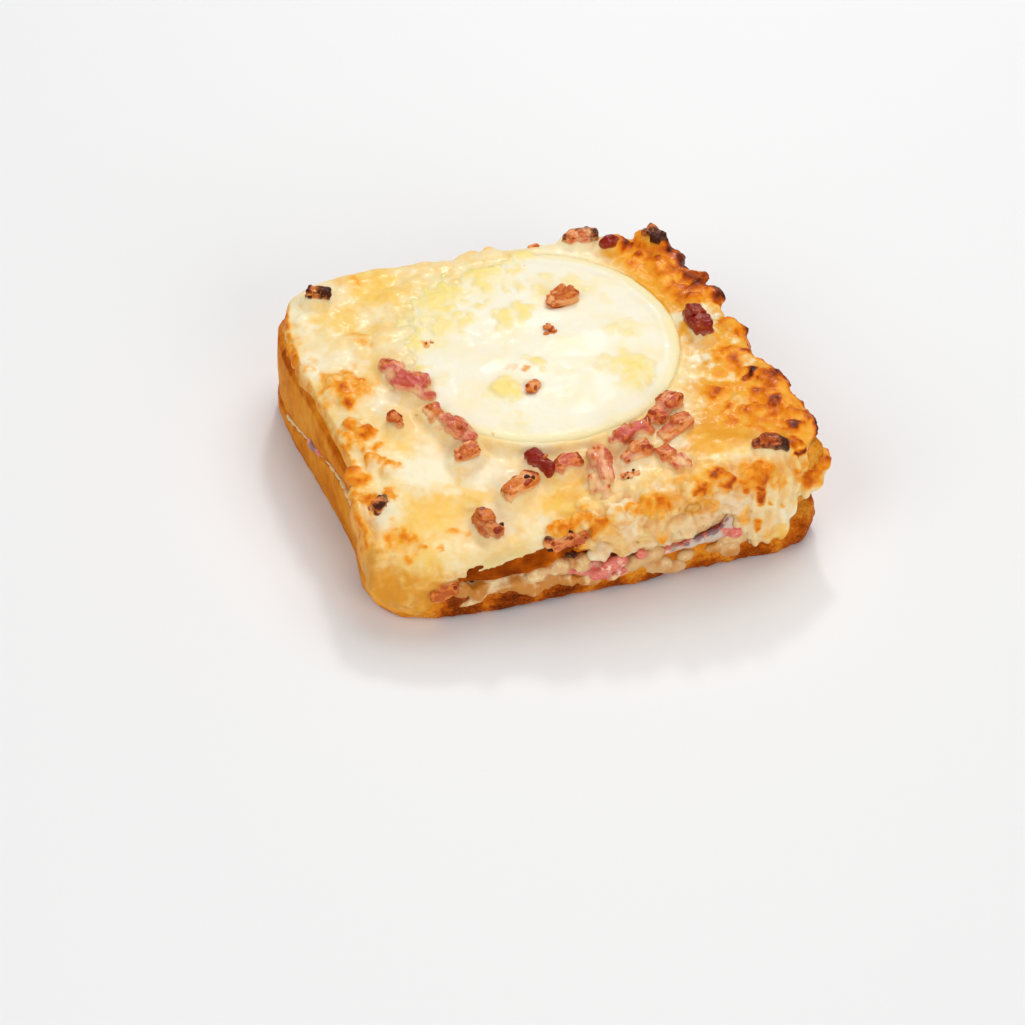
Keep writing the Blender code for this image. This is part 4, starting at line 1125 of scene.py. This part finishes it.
def makeRoundMaterial():
    recipe = Recipe(
        "goatCheese", Subsurface_Weight=0.35, Subsurface_Scale=3 * mm, Subsurface_Radius=(1, 0.75, 0.4),
        Specular_IOR_Level=0.2, Coat_Weight=0.05)
    where = recipe.place()
    fat, toast, rim = [recipe.stored(name) for name in ("fat", "toast", "rim")]
    broad = recipe.noise(where, 11, 3, 0.55)
    fine = recipe.noise(where, 1.1, 3, 0.6)
    colour = recipe.mixed(recipe.range(broad, 0.4, 0.7, 0, 0.55), roundLooks["white"], roundLooks["warm"])
    colour = recipe.mixed(rim * 0.8, colour, roundLooks["warm"])
    melted = recipe.range(fat + (fine - 0.5) * 0.3 + (broad - 0.5) * 0.3, 0.05, 0.85)
    colour = recipe.mixed(melted, colour, roundLooks["yellow"])
    colour = recipe.mixed(recipe.range(toast + (fine - 0.5) * 0.2, 0.18, 0.45), colour, roundLooks["gold"])
    recipe.give(Base_Color=colour, Roughness=0.45 + 0.2 * fine, Normal=recipe.bump(fine + broad, 0.3, 0.4))
    return recipe.material


def towardsBack(across):  # how far from the middle towards the back left
    return across[:, 1] * 0.9 - across[:, 0] * 0.45


def makeRound():
    piece = copyOfNode("goat_cheese_round", "goatRound")
    fuse(piece, roundLooks["voxel"], 10)
    thin(piece, 0.08, lambda middles, facing: facing[:, 2] < -0.5)
    places = placesOf(piece)
    normals = normalsOf(piece)
    across = places[:, :2] - roundMiddle
    reach = np.hypot(*across.T)
    edge = reach + 0.5 * softNoise(places, 9, 61)
    up = easeZ(0.2, 0.7, normals)
    angle = np.arctan2(across[:, 1], across[:, 0])
    ridge = np.exp(-((edge - 35.4) / 0.7) ** 2) * (0.15 + np.exp(-((angle - 0.2) / 0.9) ** 2))
    backFat = 0.8 * ease(20, 32, towardsBack(across)) * ease(-0.35, 0.3, softNoise(places, 5, 67))
    fat = np.maximum(spots(places, roundFat, 2.4, 62, 0.1, 1.45), backFat)
    clump = ease(0.25, 0.6, fat)
    rise = up * (0.3 * ridge + clump * (0.55 + 0.4 * roughNoise(places, 2.4, 2, 66))
                 + 0.16 * softNoise(places, 7, 63) + 0.05 * roughNoise(places, 2, 2, 64))
    places[:, 2] += rise
    movePlaces(piece, places)
    paint(piece, fat=fat, toast=spots(places, roundToast, 1, 65), rim=ease(34.5, 37.5, edge))
    coat(piece, makeRoundMaterial())
    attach(piece, "root")
    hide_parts("goat_cheese_round")


makeRound()
print("goat's cheese round set in")


# bacon lardons

lardonLooks = {
    "voxel": 0.36,
    "sunk": -0.6,
    "filmAmount": 0.72,
    "pink": (0.80, 0.27, 0.14),
    "rose": (0.57, 0.088, 0.04),
    "magenta": (0.76, 0.17, 0.17),
    "orange": (0.84, 0.26, 0.04),
    "umber": (0.52, 0.10, 0.008),
    "crisp": (0.38, 0.042, 0.004),
    "maroon": (0.27, 0.010, 0.0015),
    "fat": (0.92, 0.57, 0.26),
    "char": (0.06, 0.011, 0.003),
    "film": (0.90, 0.60, 0.28),
}

glossyOvals = (17, 22)
# how large some of them are beside their bars
lardonSizes = {
    1: 1.02, 2: 1.04, 3: 0.76, 6: 0.92, 7: 0.94, 8: 1.2, 9: 1.08, 10: 1.04, 11: 1.04, 12: 1.04, 13: 1.12,
    14: 0.8, 15: 0.52, 16: 0.8, 17: 0.72, 18: 0.9, 19: 0.85, 20: 0.7, 21: 0.75, 23: 0.62, 25: 0.8,
}
# how high some of them lie, where the rest sink in by lardonLooks["sunk"]
lardonLifts = {
    1: -0.3, 2: -0.4, 6: -0.2, 8: -0.4, 14: 0.2, 15: 0.3, 16: -0.1, 17: 0.6, 18: -0.4, 19: -0.4, 20: -0.4,
    22: 0.5, 24: 0, 25: 0,
}
# for each lardon: pinkness, redness, charring, how wet it looks
lardonTones = {
    1: (1, 0.1, 0.05, 0.6), 2: (0.8, 0.1, 0.05, 0.5), 3: (0.3, 0.25, 0.1, 0.6), 4: (0.2, 0.85, 0.2, 0.8),
    5: (0.8, 0.05, 0.05, 0.5), 6: (0.15, 0.2, 0.2, 0.4), 7: (0, 0.55, 0.3, 0.7), 8: (0.7, 0, 0.05, 0.4),
    9: (0.95, 0, 0.05, 0.5), 10: (0.8, 0.25, 0.1, 0.5), 11: (0.5, 0.1, 0.05, 0.5), 12: (0.6, 0, 0.05, 0.4),
    13: (0.4, 0.25, 0.1, 0.5), 14: (0.2, 0.2, 0.25, 0.4), 15: (0.1, 0.35, 0, 0.6), 16: (0.1, 0.8, 0.1, 1),
    17: (0.1, 0.85, 0.15, 1), 18: (0.5, 0.1, 0.6, 0.4), 19: (0.1, 0.5, 0.85, 0.5), 20: (0, 0.3, 0.75, 0.4),
    21: (0.1, 0.5, 0.75, 0.5), 22: (0, 0.62, 0.72, 1), 23: (0.2, 0.2, 0.2, 0.6), 24: (0.3, 0.2, 0.45, 0.4),
    25: (0, 0, 0.35, 0.6),
}


def makeLardonMaterial():
    recipe = Recipe(
        "baconLardon", Subsurface_Weight=0.12, Subsurface_Scale=mm, Subsurface_Radius=(1, 0.4, 0.25),
        Specular_IOR_Level=0.12, Coat_Roughness=0.08)
    grain = recipe.stored("grain", "Vector")
    pink, red, char, crisp, wet = [recipe.stored(name) for name in ("pink", "red", "char", "crisp", "wet")]
    streaks = recipe.noise(recipe.stretched(grain, (0.28, 1, 1)), 0.9, 4, 0.6)
    blotches = recipe.noise(grain, 2.0, 3, 0.6)
    fine = recipe.noise(grain, 0.5, 3, 0.6)
    layers = recipe.noise(recipe.stretched(grain, (0.2, 1, 1)), 3.2, 2)
    meat = recipe.mixed(recipe.range(pink, 0, 0.8), lardonLooks["orange"], lardonLooks["pink"])
    meat = recipe.mixed(recipe.range(pink, 0.85, 1), meat, lardonLooks["magenta"])
    lean = recipe.mixed(recipe.range(pink, 0.1, 0.6), lardonLooks["umber"], lardonLooks["rose"])
    meat = recipe.mixed(recipe.range(streaks + (layers - 0.5) * 0.8, 0.38, 0.62), lean, meat)
    fatty = recipe.range(layers + (streaks - 0.5) * 0.3, 0.52, 0.62) * (1 - red)
    meat = recipe.mixed(fatty * 0.55, meat, lardonLooks["fat"])
    browned = crisp + (fine - 0.5) * 0.4 + (blotches - 0.5) * 0.5
    meat = recipe.mixed(recipe.range(browned, 0.15, 0.7), meat, lardonLooks["orange"])
    meat = recipe.mixed(recipe.range(browned, 0.4, 0.9), meat, lardonLooks["crisp"])
    meat = recipe.mixed(recipe.range(red + (blotches - 0.5) * 0.7, 0.35, 0.85), meat, lardonLooks["maroon"])
    burnt = recipe.range(char + crisp * 0.35 + (blotches - 0.5) * 0.7 + (fine - 0.5) * 0.6, 0.55, 0.95)
    colour = recipe.mixed(burnt, meat, lardonLooks["char"])
    colour = recipe.mixed(recipe.stored("film"), colour, lardonLooks["film"])
    recipe.give(
        Base_Color=colour,
        Roughness=0.36 - 0.16 * wet + 0.2 * fine,
        Coat_Weight=(0.12 + 0.26 * wet) * (1 - 0.75 * burnt),
        Normal=recipe.bump(streaks + fine * 0.5, 0.6, 0.35))
    return recipe.material


lardonMaterial = makeLardonMaterial()


def chopped(places, number):  # a few askew blocks along the bar, so that it looks cut by hand
    draws = random.Random(500 + number)
    middle, spread, turn = longWay(places)
    half = np.abs((places - middle) @ spread.T).max(axis=0)
    blocks = []
    for k in range(max(2, round(half[0] / 1.6))):
        along = (-0.45, 0.45, draws.uniform(-0.4, 0.4))[min(k, 2)] * half[0]
        x, y, z = middle + spread[0] * along + spread[1] * draws.uniform(-0.25, 0.25) * half[1]
        size = min(half[1], 2.6)
        blocks.append((
            x, y, z + draws.uniform(-0.1, 0.5) * half[2], size * draws.uniform(0.6, 1.1),
            size * draws.uniform(0.5, 0.9), half[2] * draws.uniform(0.65, 1.05),
            draws.uniform(-14, 14), draws.uniform(-14, 14), turn + draws.uniform(-24, 24)))
    return blocks


gratinTree = BVHTree.FromObject(gratinTopping, bpy.context.evaluated_depsgraph_get())


def aboveGratin(piece):  # how far each point is from the cheese, in mm
    places = placesOf(piece) * mm
    return np.array([gratinTree.find_nearest(Vector(place))[3] for place in places]) / mm


def makeLardon(number):
    node = f"lardon_{number:02d}"
    oval = number in glossyOvals
    pink, red, char, wet = lardonTones[number]
    piece = copyOfNode(node, f"lardon{number:02d}")
    if not oval:
        addCubes(piece, chopped(placesOf(piece), number))
    fuse(piece, lardonLooks["voxel"], 3 if oval else 1)
    places = placesOf(piece)
    fixed = places[:, 2].min() if number in onTheRound else places[:, 2].max()
    head = places.mean(axis=0) * (1, 1, 0) + (0, 0, fixed)
    places = head + (places - head) * lardonSizes.get(number, 1)
    places[:, 2] += lardonLifts.get(number, lardonLooks["sunk"])
    normals = normalsOf(piece)
    middle, spread = longWay(places)[:2]
    grain = (places - middle) @ spread.T
    half = np.abs(grain).max(axis=0)
    shifted = places + 50 * number  # so that no two are rough in the same way
    chunks = roughNoise(shifted, 3, 3, 71)
    frays = roughNoise(shifted @ spread.T * (0.4, 1, 1), 1.3, 2, 74)
    away, own = bubbles(shifted, 3.4, 77)
    rough = 0.8 if oval else 1 + 0.6 * (char > 0.5)
    push = 0.3 + rough * (0.32 * chunks + 0.2 * frays + 0.26 * (0.55 - away) * (own - 0.3))
    movePlaces(piece, places + normals * push[:, None])
    corner = np.sort(np.abs(grain) / half, axis=1)[:, 1]
    crisp = ease(0.45, 0.9, corner) + 0.6 * ease(0, 0.8, chunks + frays)
    film = ease(0.95, 0.15, aboveGratin(piece) + 0.4 * chunks)
    paint(
        piece, grain=grain * mm + number * 0.1, pink=pink, red=red, wet=wet,
        char=char * (0.7 + 0.4 * ease(-half[0], half[0], grain[:, 0] + 1.5 * chunks)),
        crisp=crisp * easeZ(-0.5, 0.6, normals),
        film=lardonLooks["filmAmount"] * (1 - max(char, red)) * film)
    coat(piece, lardonMaterial)
    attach(piece, "root")
    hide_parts(node)


for number in sorted(lardonTones):
    makeLardon(number)
print("lardons fried")


# loose bits: crumbs of bacon on the round and burnt grains at the front, middle x, y, z and size
bitLooks = {
    "voxel": 0.2,
    "bacon": {"pink": 0.2, "red": 0.1, "char": 0, "wet": 0.5},
    "burnt": {"pink": 0.1, "red": 0.4, "char": 1, "wet": 0.3},
}
baconBits = (
    (6.9, 14, 33.3, 1.3), (8.4, 13, 33.2, 0.9), (5.8, 12.6, 33.1, 0.8), (7.4, 15.6, 33.2, 0.7),
    (-25.6, 18.8, 32.7, 0.8), (-24.2, 18.4, 32.6, 0.6), (-9.5, -32, 31.4, 0.9), (-8.7, -55.3, 20.8, 1),
    (10.6, -44.4, 30.6, 2), (8.4, -44, 30.5, 1.4), (15, 50.2, 30.4, 1.6), (-26.8, 51, 30.2, 0.9),
)
burntBits = (
    (-10.2, -54.8, 25, 0.8), (-7.5, -55, 23.2, 1), (-15.7, -55, 21, 1), (-13.6, -55.2, 22.2, 0.6),
    (-11.1, -55.6, 18.4, 0.8), (-9.3, -55.6, 17.9, 1.2), (-16, -36.6, 30.4, 0.9), (-14.8, -37.6, 30.2, 0.7),
    (-26.6, -47.6, 25.8, 1.1), (7.7, -44.6, 30.8, 0.6), (8.6, -45.3, 30.6, 0.5), (10.8, -43.1, 31, 0.5),
    (15.6, 50.6, 30.4, 1.1),
)


def makeBits(name, bits, seed, tones, push):
    draws = random.Random(seed)
    piece = startFresh()
    bpy.ops.object.mode_set(mode="OBJECT")
    piece.name = name
    blocks = []
    for x, y, z, size in bits:
        for k in range(3):
            blocks.append((
                x + draws.uniform(-0.5, 0.5) * size, y + draws.uniform(-0.4, 0.4) * size,
                z + draws.uniform(-0.2, 0.3) * size,
                size * draws.uniform(0.4, 0.7), size * draws.uniform(0.3, 0.6),
                size * draws.uniform(0.3, 0.5),
                draws.uniform(-40, 40), draws.uniform(-40, 40), draws.uniform(0, 180)))
    addCubes(piece, blocks)
    fuse(piece, bitLooks["voxel"], 1)
    places = placesOf(piece)
    movePlaces(piece, places + normalsOf(piece) * (push * roughNoise(places, 0.8, 2, seed))[:, None])
    crisp = ease(-0.5, 1, roughNoise(places, 1, 2, seed + 5))
    paint(piece, grain=places * mm, crisp=crisp, **bitLooks[tones])
    coat(piece, lardonMaterial)
    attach(piece, "root")


makeBits("baconCrumbs", baconBits, 301, "bacon", 0.15)
makeBits("burntGrains", burntBits, 302, "burnt", 0.12)
print("loose bits scattered")
